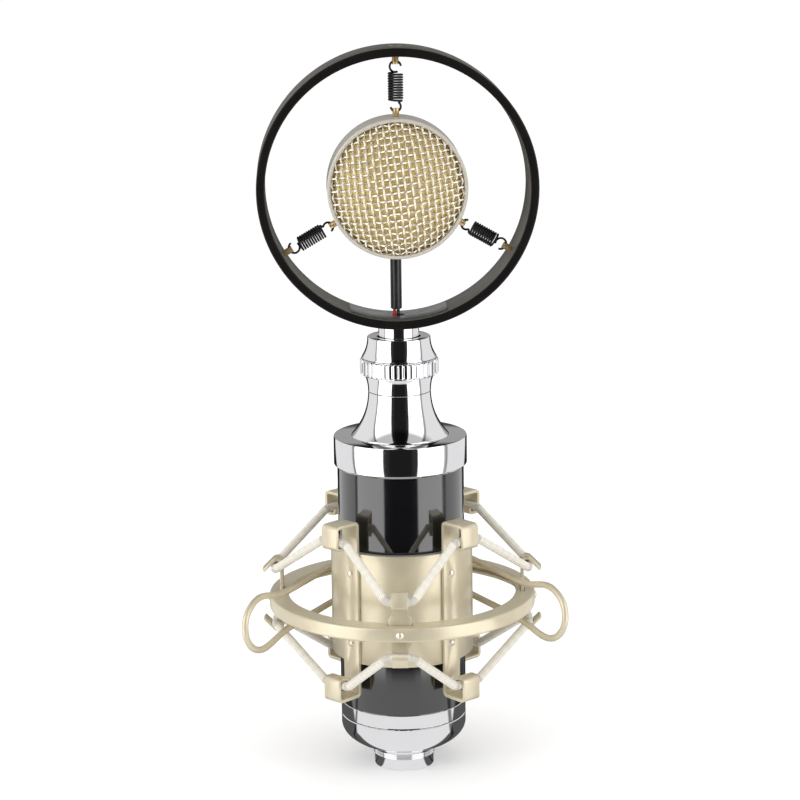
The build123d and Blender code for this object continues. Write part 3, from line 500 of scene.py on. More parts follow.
CHROME = MetalFinish("polished_chrome", (0.93, 0.93, 0.94), (0.86, 0.86, 0.88), clean=0.03, marked=0.09)
LACQUER = LacquerFinish("black_lacquer", (0.004, 0.004, 0.005), (0.03, 0.03, 0.032))
CHAMPAGNE = MetalFinish("satin_champagne", (0.68, 0.61, 0.45), (0.61, 0.545, 0.4), metallic=0.45, clean=0.28,
                        marked=0.42, smudge=90.0, grain=3200.0, grain_depth=0.00002, grain_strength=0.35,
                        coat=0.15, coat_roughness=0.3)
HOOP_SIDE = MetalFinish("hoop_side_satin", (0.12, 0.112, 0.09), (0.085, 0.08, 0.065), metallic=0.3,
                        clean=0.36, marked=0.45, smudge=70.0, grain=2600.0, grain_depth=0.00002,
                        grain_strength=0.3)
HOOP_RIM = MetalFinish("hoop_rim_gloss", (0.006, 0.005, 0.005), (0.009, 0.008, 0.0075), metallic=0.0,
                       clean=0.22, marked=0.32, smudge=60.0, grain=1500.0, grain_depth=0.00001,
                       grain_strength=0.15,
                       specular=0.2)
RIVET_BRIGHT = MetalFinish("bright_rivet", (0.86, 0.8, 0.68), (0.76, 0.7, 0.58), metallic=0.6,
                           clean=0.18, marked=0.3, smudge=300.0)
RIM_SATIN = MetalFinish("head_rim_satin", (0.74, 0.7, 0.62), (0.66, 0.62, 0.54), metallic=0.4, clean=0.28,
                        marked=0.34, smudge=110.0, grain=3000.0, grain_depth=0.00001, grain_strength=0.2)
WIRE_SILVER = MetalFinish("woven_wire_silver", (0.98, 0.93, 0.84), (0.86, 0.79, 0.66), metallic=0.75,
                          clean=0.14, marked=0.28, smudge=260.0, grain=2200.0, grain_depth=0.00001,
                          grain_strength=0.2)
OXIDE = MetalFinish("black_oxide_wire", (0.016, 0.016, 0.017), (0.008, 0.008, 0.009), metallic=0.2, clean=0.3,
                    marked=0.45, smudge=300.0, specular=0.35)
BRASS = MetalFinish("turned_brass", (0.86, 0.66, 0.36), (0.7, 0.5, 0.24), metallic=0.75, clean=0.16,
                    marked=0.3, smudge=400.0)
PLATE_METAL = MetalFinish("plain_plate_metal", (0.66, 0.66, 0.66), (0.5, 0.5, 0.51), clean=0.28, marked=0.42,
                          smudge=200.0, grain=2800.0, grain_depth=0.00001, grain_strength=0.25)
GOLD_FILM = MetalFinish("sputtered_gold", (0.9, 0.7, 0.3), (0.75, 0.55, 0.2), clean=0.08, marked=0.2)
STEEL = MetalFinish("plated_steel", (0.5, 0.5, 0.52), (0.38, 0.38, 0.4), clean=0.25, marked=0.4, smudge=150.0)
# the second colour is painted shade for the gauze's holes
GAUZE = GauzeFinish("fine_gold_gauze", (0.92, 0.75, 0.34), (0.26, 0.19, 0.075))
BRAID = BraidFinish("white_elastic_braid", (0.86, 0.83, 0.76), (0.6, 0.56, 0.47))
FELT = FeltFinish("black_felt", (0.01, 0.01, 0.01), (0.045, 0.045, 0.043))
SLEEVING = PlasticFinish("black_sleeving", (0.008, 0.008, 0.009), (0.02, 0.02, 0.02), clean=0.18, marked=0.3)
RED_WIRE = PlasticFinish("red_insulation", (0.55, 0.02, 0.015), (0.38, 0.012, 0.01), clean=0.3, marked=0.42)
INSULATOR = PlasticFinish("connector_insulator", (0.02, 0.02, 0.021), (0.035, 0.035, 0.036))
KNOB = PlasticFinish("moulded_knob", (0.015, 0.015, 0.016), (0.03, 0.03, 0.03), clean=0.42, marked=0.58)
LAMINATE = PlasticFinish("board_laminate", (0.02, 0.13, 0.05), (0.03, 0.17, 0.07))
PARTS = PlasticFinish("component_sleeve", (0.05, 0.05, 0.07), (0.09, 0.09, 0.12))
SHELF = FinishShelf()


# ------------------------------------------------------------------------------ making meshes
def along_arc(centre: tuple[float, float], radius: float, start: float, end: float, steps: int) -> list:
    """Points on an arc.

    Args:
        centre: Its centre.
        radius: Its radius.
        start: First angle in degrees.
        end: Last angle in degrees.
        steps: How many pieces it is cut into.

    Returns:
        The points, ends included.
    """
    angles = [math.radians(start + (end - start) * i / steps) for i in range(steps + 1)]
    return [(centre[0] + radius * math.cos(a), centre[1] + radius * math.sin(a)) for a in angles]


def flare(wide: tuple[float, float], narrow: tuple[float, float],
          steps: int = 24) -> list[tuple[float, float]]:
    """Points of a concave arc from a wide end to a narrow end, upright at the narrow end.

    Args:
        wide: Radius and height of the wide end.
        narrow: Radius and height of the narrow end.
        steps: How many pieces it is cut into.

    Returns:
        Points from the wide end to the narrow end.
    """
    rise, spread = abs(narrow[1] - wide[1]), wide[0] - narrow[0]
    radius = (rise * rise + spread * spread) / (2 * spread)
    sweep = math.asin(min(1.0, rise / radius))
    points = []
    for index in range(steps + 1):
        angle = sweep * (1 - index / steps)
        height = radius * math.sin(angle)
        points.append((narrow[0] + radius * (1 - math.cos(angle)),
                       narrow[1] + (height if wide[1] > narrow[1] else -height)))
    return points


def rounded(points: Sequence[Vector], radius: float, closed: bool = False, steps: int = 7) -> list[Vector]:
    """A line of straight runs with its corners rounded.

    Args:
        points: The corners.
        radius: Radius of every corner.
        closed: Whether the line is a loop.
        steps: Points on each corner.

    Returns:
        The rounded line's points.
    """
    line, count = [], len(points)
    for index, corner in enumerate(points):
        if not closed and index in (0, count - 1):
            line.append(corner.copy())
            continue
        back = (points[index - 1] - corner).normalized()
        ahead = (points[(index + 1) % count] - corner).normalized()
        half = back.angle(ahead) / 2
        reach = radius / math.tan(half)
        centre = corner + (back + ahead).normalized() * (radius / math.sin(half))
        first = corner + back * reach - centre
        last = corner + ahead * reach - centre
        turn = first.angle(last)
        pole = first.cross(last).normalized()
        for step in range(steps + 1):
            line.append(centre + Matrix.Rotation(turn * step / steps, 3, pole) @ first)
    return line


def eased(line: Sequence[Vector], spacing: float, rounds: int) -> list[Vector]:
    """A line cut into even steps and relaxed, so that its bends flow into each other.

    Args:
        line: The line's points.
        spacing: Length of a step.
        rounds: How many times each point moves towards its neighbours.

    Returns:
        The relaxed line, with its ends kept.
    """
    even, left = [line[0].copy()], 0.0
    for start, end in zip(line, line[1:]):
        run = (end - start).length
        along = spacing - left
        while along <= run:
            even.append(start.lerp(end, along / run))
            along += spacing
        left = (left + run) % spacing
    even.append(line[-1].copy())
    for _ in range(rounds):
        inner = [(a + b * 2 + c) / 4 for a, b, c in zip(even, even[1:], even[2:])]
        even = [even[0], *inner, even[-1]]
    return even


def soften(mesh: bmesh.types.BMesh, width: float, segments: int = 2, sharpest: float = 28.0) -> None:
    """Bevels every sharp edge of a closed shape.

    Args:
        mesh: The shape.
        width: Bevel width in millimetres.
        segments: Bevel segments.
        sharpest: Edges that turn by more than this many degrees are bevelled.
    """
    limit = math.radians(sharpest)
    edges = [e for e in mesh.edges if e.is_manifold and e.calc_face_angle(0.0) > limit]
    bmesh.ops.bevel(mesh, geom=edges, offset=width * MM, offset_type="OFFSET", segments=segments, profile=0.5,
                    affect="EDGES", clamp_overlap=True, material=-1)


def spun(outline: Outline, axis: Axis = Axis.UPRIGHT, steps: int = 160, bevel: float = 0.0,
         centre: float = 0.0) -> bmesh.types.BMesh:
    """A closed shape of revolution.

    Args:
        outline: Closed outline as radius and distance along the axis, in millimetres.
        axis: What it is spun about.
        steps: Steps round the full turn.
        bevel: Edge bevel in millimetres, or 0 for none.
        centre: Height of a front-to-back axis, in millimetres.

    Returns:
        The shape.
    """
    shape = bmesh.new()
    corners = [shape.verts.new((radius * MM, 0, along * MM)) for radius, along in outline]
    sides = [shape.edges.new((corners[i - 1], corners[i])) for i in range(len(corners))]
    bmesh.ops.spin(shape, geom=corners + sides, cent=(0, 0, 0), axis=(0, 0, 1), dvec=(0, 0, 0),
                   angle=math.tau, steps=steps, use_merge=True)
    bmesh.ops.remove_doubles(shape, verts=shape.verts, dist=1e-6)
    if axis is Axis.FRONT_TO_BACK:
        bmesh.ops.transform(shape, matrix=Matrix.Rotation(math.radians(90), 4, "X"), verts=shape.verts)
        bmesh.ops.translate(shape, vec=(0, 0, centre * MM), verts=shape.verts)
    bmesh.ops.recalc_face_normals(shape, faces=shape.faces)
    if bevel:
        soften(shape, bevel)
    return shape


def wire_mesh(lines: Iterable[Sequence[Vector]], radius: float, closed: bool = False, sides: int = 3,
              smooth: bool = False) -> bpy.types.Mesh:
    """Round wires along lines, as one mesh.

    Args:
        lines: One line of points in millimetres for each wire.
        radius: The wire's radius in millimetres.
        closed: Whether the lines are loops.
        sides: Bevel resolution, which gives four more faces round for each step.
        smooth: Whether the line is a smooth spline through its points.

    Returns:
        The mesh, in metres.
    """
    curve = bpy.data.curves.new("wire", "CURVE")
    curve.dimensions = "3D"
    curve.bevel_depth = radius * MM
    curve.bevel_resolution = sides
    curve.use_fill_caps = True
    curve.resolution_u = 2
    curve.twist_mode = "MINIMUM"
    for line in lines:
        spline = curve.splines.new("NURBS" if smooth else "POLY")
        spline.points.add(len(line) - 1)
        for point, place in zip(spline.points, line):
            point.co = (*(place * MM), 1.0)
        if smooth:
            spline.order_u = 3
            spline.use_endpoint_u = True
        spline.use_cyclic_u = closed
    holder = bpy.data.objects.new("wire", curve)
    bpy.context.scene.collection.objects.link(holder)
    mesh = bpy.data.meshes.new_from_object(holder.evaluated_get(bpy.context.evaluated_depsgraph_get()))
    bpy.data.objects.remove(holder)
    bpy.data.curves.remove(curve)
    return mesh


def merged_copy(node: str, bevel: float) -> bmesh.types.BMesh:
    """A CAD node's shape with its flat faces joined and its edges softened.

    Args:
        node: The CAD node.
        bevel: Edge bevel in millimetres, or 0 for none.

    Returns:
        The shape.
    """
    shape = bmesh.new()
    shape.from_mesh(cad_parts[node].data)
    bmesh.ops.remove_doubles(shape, verts=shape.verts, dist=2e-6)
    bmesh.ops.dissolve_limit(shape, angle_limit=math.radians(0.4), verts=shape.verts, edges=shape.edges)
    if bevel:
        soften(shape, bevel)
    return shape


@dataclass
class Bench:
    """Turns finished shapes into pieces on a CAD body."""

    body: str
    made: list[str] = field(default_factory=list)

    def place(self, name: str, shape: bmesh.types.BMesh | bpy.types.Mesh, finish: Finish | Sequence[Finish],
              replaces: Sequence[str] = (), slot: str = "", smooth_below: float = 40.0,
              ride: bool = True) -> bpy.types.Object:
        """Makes an object of a shape, dresses it and puts it on the body.

        Args:
            name: The piece's name.
            shape: Its shape in metres, in place.
            finish: Its finish, or several for its material indices.
            replaces: The CAD nodes that it stands for.
            slot: The record's material slot; not used.
            smooth_below: Edges that turn by less than this many degrees shade smooth.
            ride: Whether it rides on the body.

        Returns:
            The object.
        """
        if isinstance(shape, bmesh.types.BMesh):
            mesh = bpy.data.meshes.new(name)
            shape.to_mesh(mesh)
            shape.free()
        else:
            mesh = shape
            mesh.name = name
        mesh.polygons.foreach_set("use_smooth", [True] * len(mesh.polygons))
        mesh.set_sharp_from_angle(angle=math.radians(smooth_below))
        piece = bpy.data.objects.new(name, mesh)
        bpy.context.scene.collection.objects.link(piece)
        for one in finish if isinstance(finish, (list, tuple)) else (finish,):
            mesh.materials.append(SHELF.take(one))
        if ride:
            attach(piece, self.body)
        if replaces:
            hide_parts(*replaces)
        self.made.append(name)
        LOG.info("%s: %s, %d faces", self.body, name, len(mesh.polygons))
        return piece

    def copy(self, node: str, finish: Finish, slot: str, bevel: float = 0.15) -> bpy.types.Object:
        """A CAD node's shape with softened edges and a new finish.

        Args:
            node: The CAD node.
            finish: Its finish.
            slot: The record's material slot.
            bevel: Edge bevel in millimetres.

        Returns:
            The object.
        """
        return self.place(node + "_detail", merged_copy(node, bevel), finish, [node], slot)


# ------------------------------------------------------------------------------ the microphone's body
@dataclass
class Housing:
    """Tail connector, bell, band, lacquered tube, cap and the foot of the neck."""

    tail_r: float = 11.8
    bore_r: float = 9.3
    bell_r: float = 24.9
    bell_depth: float = 11.5
    bell_equator: float = 18.3
    tube_r: float = 25.0
    tube_z: tuple[float, float] = (27.8, 124.6)
    cap_r: float = 26.3
    cap_top: float = 135.8
    bench: Bench = field(default_factory=lambda: Bench("microphone"))

    def tail(self) -> bmesh.types.BMesh:
        """Connector shell with a rolled end and rounded thread ridges."""
        line = [(self.bore_r, 18.0), (self.bore_r, 0.35), (self.bore_r + 0.3, 0.0), (self.tail_r - 0.35, 0.0),
                (self.tail_r, 0.35), (self.tail_r, 4.5)]
        for index in range(3):
            low = 4.6 + index * 0.9
            for step in range(1, 8):
                line.append((self.tail_r + 0.38 * math.sin(math.pi * step / 8), low + 0.78 * step / 8))
            line.append((self.tail_r - 0.06, low + 0.84))
        line += [(self.tail_r, 7.6), (self.tail_r, 18.0)]
        return spun(line)

    def bell_line(self, inset: float, start_r: float, steps: int) -> list[tuple[float, float]]:
        """The bell's curve from its hole to its rim.

        Args:
            inset: How far inside the outer surface it runs.
            start_r: Radius where it starts.
            steps: How many pieces it is cut into.

        Returns:
            Points from the hole outwards.
        """
        wide, tall = self.bell_r - inset, self.bell_depth - inset
        start = math.acos(start_r / wide)
        angles = [start * (1 - i / steps) for i in range(steps + 1)]
        return [(wide * math.cos(angle), self.bell_equator - tall * math.sin(angle)) for angle in angles]

    def bell(self) -> bmesh.types.BMesh:
        """Rounded bottom with a small turned lip round the connector."""
        outer = self.bell_line(0.0, self.tail_r + 0.35, 40)
        inner = self.bell_line(1.8, self.tail_r + 0.05, 24)
        foot = outer[0][1]
        top = [(self.bell_r, 21.75), (self.bell_r - 0.25, 22.0), (self.bell_r - 1.8, 22.0)]
        line = [(self.tail_r + 0.05, foot + 0.25)] + outer + top + inner[::-1]
        return spun(line)

    def build(self) -> None:
        """Makes every piece."""
        place = self.bench.place
        place("connector_shell", self.tail(), CHROME, ["tail_shell"], "polished_chrome")
        place("bell", self.bell(), CHROME, ["bottom_bell"], "polished_chrome")
        r = self.bell_r
        band = [(20.0, 18.2), (23.05, 18.2), (23.05, 22.2), (r - 0.25, 22.2), (r, 22.45), (r, 27.55),
                (r - 0.25, 27.8), (23.35, 27.8), (23.35, 31.8), (20.0, 31.8)]
        place("band", spun(band), CHROME, ["bottom_band"], "polished_chrome")
        low, high = self.tube_z
        tube = [(23.4, low), (self.tube_r - 0.15, low), (self.tube_r, low + 0.15), (self.tube_r, high - 0.15),
                (self.tube_r - 0.15, high), (23.4, high)]
        place("lacquered_tube", spun(tube, steps=192), LACQUER, ["body_tube"], "black_lacquer")
        top, cap_r = self.cap_top, self.cap_r
        cap = [(25.05, high - 0.9), (25.2, high - 0.9), (cap_r - 0.1, high - 0.05), (cap_r, high + 0.15),
               (cap_r, top - 0.45), (cap_r - 0.13, top - 0.13), (cap_r - 0.45, top), (8.05, top),
               (8.05, top - 3.0), (23.4, top - 3.0), (23.4, high), (25.05, high)]
        place("cap", spun(cap, steps=192), CHROME, ["top_cap"], "polished_chrome")
        foot = [(8.05, top), (19.0, top), (19.25, top + 0.15)]
        neck = foot + flare((19.2, top + 0.3), (12.4, 153.25), 32) + [(12.25, 153.4), (8.05, 153.4)]
        place("neck_foot", spun(neck), CHROME, ["neck_socket"], "polished_chrome")
        copy = self.bench.copy
        copy("xlr_insert", INSULATOR, "black_insulator")
        copy("xlr_pins", BRASS, "gold_contact", 0.0)
        copy("chassis_rails", STEEL, "chassis_steel")
        copy("circuit_board", LAMINATE, "board_laminate")
        copy("board_components", PARTS, "component_body")


@dataclass
class Neck:
    """Plug, collar, pillar and the knurled lock ring between body and hoop."""

    seam: float = 153.6
    plug_top: float = 160.0
    ring_z: tuple[float, float] = (160.2, 166.8)
    ring_r: float = 15.45
    ribs: int = 42
    collar_z: tuple[float, float] = (167.0, 175.4)
    bench: Bench = field(default_factory=lambda: Bench("head"))
    ring_bench: Bench = field(default_factory=lambda: Bench("lock_ring"))

    def knurled_ring(self) -> bmesh.types.BMesh:
        """Ring with round-topped ribs between two plain bevelled edges."""
        low, high = self.ring_z
        line = [(10.05, low), (self.ring_r - 0.9, low), (self.ring_r - 0.35, low + 0.3)]
        line += [(self.ring_r, low + 0.75 + (high - low - 1.5) * i / 8) for i in range(9)]
        line += [(self.ring_r - 0.35, high - 0.3), (self.ring_r - 0.9, high), (10.05, high)]
        ring = spun(line, steps=self.ribs * 8)
        for vert in ring.verts:
            radius = math.hypot(vert.co.x, vert.co.y) / MM
            if radius > self.ring_r - 0.5:
                wave = abs(math.sin(math.atan2(vert.co.y, vert.co.x) * self.ribs / 2))
                depth = 0.62 if radius > self.ring_r - 0.1 else 0.2
                scale = 1 - depth * (1 - wave ** 0.3) / radius
                vert.co.x, vert.co.y = vert.co.x * scale, vert.co.y * scale
        return ring

    def build(self) -> None:
        """Makes every piece."""
        place = self.bench.place
        top = self.plug_top
        plug = [(3.0, 139.4), (8.0, 139.4), (8.0, self.seam), (12.25, self.seam)]
        plug += flare((13.6, top - 0.2), (12.4, self.seam + 0.15), 14)[::-1]
        plug += [(13.4, top), (10.0, top), (10.0, 167.0), (3.0, 167.0)]
        place("neck_plug_turned", spun(plug), CHROME, ["neck_plug"], "polished_chrome")
        low, high = self.collar_z
        collar = [(3.0, low), (14.4, low), (14.7, low + 0.3)]
        collar += flare((14.6, low + 0.5), (12.4, high - 0.4), 20)
        collar += [(12.28, high - 0.12), (12.0, high), (8.9, high), (8.6, high - 0.3), (8.6, low + 3.0),
                   (3.0, low + 3.0)]
        place("collar", spun(collar), CHROME, ["neck_collar"], "polished_chrome")
        pillar = [(3.0, low + 3.0), (8.0, low + 3.0), (8.0, 180.75), (3.0, 180.75)]
        place("pillar", spun(pillar, steps=96), CHROME, ["hoop_boss"], "polished_chrome")
        self.ring_bench.place("knurled_lock_ring", self.knurled_ring(), CHROME, ["lock_ring"],
                              "polished_chrome")


# ------------------------------------------------------------------------------ hoop and sprung head
@dataclass
class Hoop:
    """The flat-section hoop with its floor plate, posts, screws and springs."""

    outer_r: float = 54.5
    inner_r: float = 51.1
    depth: float = 23.2
    height: float = 234.3
    coil: tuple[float, float] = (33.0, 44.3)
    eyes: tuple[float, float] = (29.1, 48.7)
    coil_r: float = 2.68
    wire_r: float = 0.42
    turns: float = 10.5
    bench: Bench = field(default_factory=lambda: Bench("head"))

    def band(self) -> bmesh.types.BMesh:
        """Hoop with softened edges, its two rims on the second material."""
        half = self.depth / 2
        line = [(self.inner_r, -half), (self.outer_r, -half), (self.outer_r, half), (self.inner_r, half)]
        hoop = spun(line, Axis.FRONT_TO_BACK, steps=240, centre=self.height)
        soften(hoop, 0.5, 3)
        for face in hoop.faces:
            face.material_index = 1 if abs(face.normal.y) > 0.35 else 0
        return hoop

    def spring_line(self, angle: float) -> list[Vector]:
        """The wire's line: hook, close-wound coil, hook.

        Args:
            angle: The spring's direction in the hoop's plane, in degrees from +X towards +Z.

        Returns:
            Points in millimetres.
        """
        def at(reach: float, aside: float, depth: float) -> Vector:
            """A point from its distance out, its sideways offset and its depth."""
            c, s = math.cos(math.radians(angle)), math.sin(math.radians(angle))
            return Vector((reach * c - aside * s, depth, self.height + reach * s + aside * c))

        def hook(middle: float, radius: float, start: float, end: float) -> list[Vector]:
            """An open hook as part of a circle in the hoop's plane."""
            angles = [math.radians(start + (end - start) * i / 14) for i in range(15)]
            return [at(middle + radius * math.cos(a), radius * math.sin(a), 0.0) for a in angles]

        start, end = self.coil
        inner = hook((self.eyes[0] + start) / 2, (start - self.eyes[0]) / 2, 95, 330)
        outer = hook((self.eyes[1] + end) / 2, (self.eyes[1] - end) / 2, 210, -85)
        count = int(self.turns * 18)
        winding = []
        for step in range(count + 1):
            turn = math.tau * self.turns * step / count + math.radians(200)
            reach = start + self.wire_r + (end - start - 2 * self.wire_r) * step / count
            winding.append(at(reach, self.coil_r * math.cos(turn), self.coil_r * math.sin(turn)))
        return inner + winding + outer

    def screws(self) -> bmesh.types.BMesh:
        """Countersunk screws on the hoop's outer face, each with a slot."""
        screws = bmesh.new()
        for angle in (90, 210, 330):
            head = spun([(0.0, -0.9), (1.4, -0.9), (2.25, -0.1), (2.2, 0.02), (0.0, 0.05)], steps=40)
            for vert in head.verts:
                if vert.co.z > -0.0002 and abs(vert.co.x) < 0.0003:
                    vert.co.z -= 0.0004
            turn = (Matrix.Translation((0, 0, self.height * MM))
                    @ Matrix.Rotation(math.radians(90 - angle), 4, "Y"))
            out = Matrix.Translation((0, 0, self.outer_r * MM))
            bmesh.ops.transform(head, matrix=turn @ out, verts=head.verts)
            holder = bpy.data.meshes.new("screw")
            head.to_mesh(holder)
            head.free()
            screws.from_mesh(holder)
            bpy.data.meshes.remove(holder)
        return screws

    def build(self) -> None:
        """Makes every piece."""
        self.bench.place("hoop", self.band(), (HOOP_SIDE, HOOP_RIM), ["hoop_band"], "hoop_paint")
        self.bench.copy("hoop_plate", PLATE_METAL, "plain_plate", 0.08)
        self.bench.copy("hoop_posts", BRASS, "brass_posts", 0.0)
        self.bench.place("hoop_screws", self.screws(), BRASS, ["hoop_post_screws"], "polished_chrome")
        for name, angle in (("top", 90), ("left", 210), ("right", 330)):
            mesh = wire_mesh([self.spring_line(angle)], self.wire_r, sides=2, smooth=True)
            piece = self.bench.place(f"coil_{name}", mesh, OXIDE, [f"head_spring_{name}"],
                                     "black_spring_steel", 80.0, ride=False)
            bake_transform(piece)


@dataclass
class Head:
    """The sprung head: rim, two woven domes, fine gauze, capsule, posts and stem."""

    rim_r: float = 27.2
    bore_r: float = 25.9
    depth: float = 19.5
    height: float = 234.3
    dome: float = 11.0
    setback: float = 1.2
    pitch: float = 2.75
    strand_r: float = 0.43
    slant: float = 7.0
    bench: Bench = field(default_factory=lambda: Bench("capsule"))

    @property
    def ball_r(self) -> float:
        """Radius of the sphere that a dome is cut from."""
        return (self.bore_r ** 2 + self.dome ** 2) / (2 * self.dome)

    def on_dome(self, across: float, up: float, lift: float, side: int) -> Vector:
        """A point of the woven sheet on a dome.

        Args:
            across: Distance along the sheet, sideways.
            up: Distance along the sheet, upwards.
            lift: Height above the sheet's middle surface.
            side: -1 for the front dome, 1 for the back one.

        Returns:
            The point in millimetres.
        """
        reach = math.hypot(across, up)
        radius = self.ball_r - 0.5 + lift
        angle = reach / (self.ball_r - 0.5)
        out = math.sin(angle) / reach if reach > 1e-9 else 0.0
        edge = self.depth / 2 - self.setback + self.dome - self.ball_r
        return Vector((across * out * radius, side * (edge + math.cos(angle) * radius),
                       self.height + up * out * radius))

    def strands(self, side: int) -> list[list[Vector]]:
        """Lines of every strand of one dome's plain weave.

        Args:
            side: -1 for the front dome, 1 for the back one.

        Returns:
            One line for each strand.
        """
        limit = (self.ball_r - 0.5) * math.asin((self.bore_r - 0.05) / (self.ball_r - 0.5))
        tilt = math.radians(self.slant)
        lines = []
        count = int(limit / self.pitch - 0.1)
        for upright in (False, True):
            for index in range(-count, count + 1):
                fixed = index * self.pitch
                half = math.sqrt(max(0.0, limit * limit - fixed * fixed))
                if half < self.pitch / 2:
                    continue
                steps = max(6, int(2 * half / self.pitch * 6))
                line = []
                for step in range(steps + 1):
                    run = -half + 2 * half * step / steps
                    weave = math.cos(math.pi * run / self.pitch) * (-1) ** index * (1 if upright else -1)
                    a, b = (fixed, run) if upright else (run, fixed)
                    line.append(self.on_dome(a * math.cos(tilt) - b * math.sin(tilt),
                                             a * math.sin(tilt) + b * math.cos(tilt),
                                             weave * self.strand_r, side))
                lines.append(line)
        edge = [self.on_dome(limit * math.cos(a), limit * math.sin(a), 0.0, side)
                for a in (math.tau * step / 120 for step in range(121))]
        return lines + [edge]

    def gauze(self, side: int) -> bmesh.types.BMesh:
        """Thin fine-mesh cap behind a woven dome.

        Args:
            side: -1 for the front, 1 for the back.

        Returns:
            The shape.
        """
        ball, edge_r = self.ball_r - 1.6, self.bore_r - 0.1
        start = math.asin(edge_r / ball)
        line = []
        base = self.depth / 2 - self.setback + self.dome - self.ball_r
        for radius, order in ((ball, 1), (ball - 0.3, -1)):
            angles = [start * i / 24 for i in range(25)]
            arc = [(radius * math.sin(angle), base + radius * math.cos(angle)) for angle in angles]
            line += arc[::order]
        shape = spun(line, Axis.FRONT_TO_BACK, steps=96, centre=self.height)
        if side > 0:
            bmesh.ops.scale(shape, vec=(1, -1, 1), verts=shape.verts)
            bmesh.ops.recalc_face_normals(shape, faces=shape.faces)
        return shape

    def rim(self) -> bmesh.types.BMesh:
        """Rim ring with a rolled lip inside each edge, which holds the mesh."""
        half = self.depth / 2
        line = [(self.bore_r, -half + 0.3), (self.bore_r + 0.3, -half), (self.rim_r - 0.4, -half),
                (self.rim_r, -half + 0.4), (self.rim_r, half - 0.4), (self.rim_r - 0.4, half),
                (self.bore_r + 0.3, half), (self.bore_r, half - 0.3)]
        return spun(line, Axis.FRONT_TO_BACK, steps=200, centre=self.height)

    def build(self) -> None:
        """Makes every piece."""
        place = self.bench.place
        place("rim", self.rim(), RIM_SATIN, ["head_rim"], "rim_satin")
        for side, word in ((-1, "front"), (1, "rear")):
            weave = wire_mesh(self.strands(side), self.strand_r, sides=1)
            place(f"woven_dome_{word}", weave, WIRE_SILVER, [f"outer_mesh_{word}"], "silver_mesh", 80.0)
            place(f"gauze_{word}", self.gauze(side), GAUZE, [f"inner_mesh_{word}"], "gold_mesh")
        self.bench.copy("head_posts", BRASS, "brass_posts", 0.0)
        self.bench.copy("capsule_backplate", BRASS, "capsule_brass")
        self.bench.copy("capsule_membranes", GOLD_FILM, "gold_film", 0.0)
        self.bench.copy("capsule_rings", BRASS, "capsule_brass")
        self.bench.copy("capsule_saddle", INSULATOR, "black_insulator")
        stem = spun([(0.9, 186.2), (1.9, 186.2), (2.2, 186.5), (2.2, 210.4), (0.9, 210.4)], steps=48)
        bmesh.ops.translate(stem, vec=(-0.8 * MM, 0, 0), verts=stem.verts)
        place("stem", stem, SLEEVING, ["stem_sleeve"], "black_insulator")
        shift = 0.62 * 1.15
        lines = {side: [Vector((-0.8 + side * shift, 0, z)) for z in (166.0, 175.0, 186.0, 198.0, 210.0)]
                 for side in (-1, 1)}
        red = place("wire_red", wire_mesh([lines[-1]], 0.62), RED_WIRE, ["capsule_wires"], "wire_insulation")
        black = place("wire_black", wire_mesh([lines[1]], 0.62), SLEEVING, (), "wire_insulation")
        LOG.info("stem carries %s and %s", red.name, black.name)


# ------------------------------------------------------------------------------ shock mount
@dataclass
class Cradle:
    """Front of the sleeve with its hook strips, and the two elastics."""

    middle: float = 71.0
    hook_r: float = 37.48
    hook_rise: float = 28.62
    hook_half: float = 6.1
    bracket_r: float = 50.32
    bracket_rise: float = 11.16
    bracket_half: float = 5.2
    elastic_r: float = 1.7
    bend_r: float = 2.6
    strips: tuple[float, ...] = (45.0, 135.0, 227.5, 312.5)
    bench: Bench = field(default_factory=lambda: Bench("cradle"))

    def elastic_line(self, upper: bool) -> list[Vector]:
        """The closed line of one elastic, laced over eight hooks.

        Args:
            upper: Whether it is the upper elastic.

        Returns:
            Points in millimetres.
        """
        hooks = [(angle, self.hook_r, self.hook_rise, self.hook_half) for angle in self.strips]
        hooks += [(angle, self.bracket_r, self.bracket_rise, self.bracket_half)
                  for angle in (0.0, 90.0, 180.0, 270.0)]
        corners = []
        for angle, radius, rise, half in sorted(hooks):
            for aside in (-half, half):
                spot = Matrix.Rotation(math.radians(angle), 3, "Z") @ Vector((radius, aside, 0))
                spot.z = self.middle + (rise if upper else -rise)
                corners.append(spot)
        return rounded(corners, self.bend_r, closed=True)

    def build(self) -> None:
        """Makes every piece."""
        for node in ("sleeve_web", "hook_strips_front", "rivets_front"):
            look, edge = (RIVET_BRIGHT, 0.0) if node == "rivets_front" else (CHAMPAGNE, 0.12)
            self.bench.copy(node, look, "satin_champagne", edge)
        self.bench.copy("web_liner", FELT, "black_felt", 0.0)
        for upper, word in ((True, "upper"), (False, "lower")):
            mesh = wire_mesh([self.elastic_line(upper)], self.elastic_r, closed=True, sides=3)
            mesh.transform(TURN_MOUNT)
            piece = self.bench.place(f"braided_elastic_{word}", mesh, BRAID, [f"{word}_elastic"],
                                     "white_elastic", 80.0, ride=False)
            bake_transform(piece)


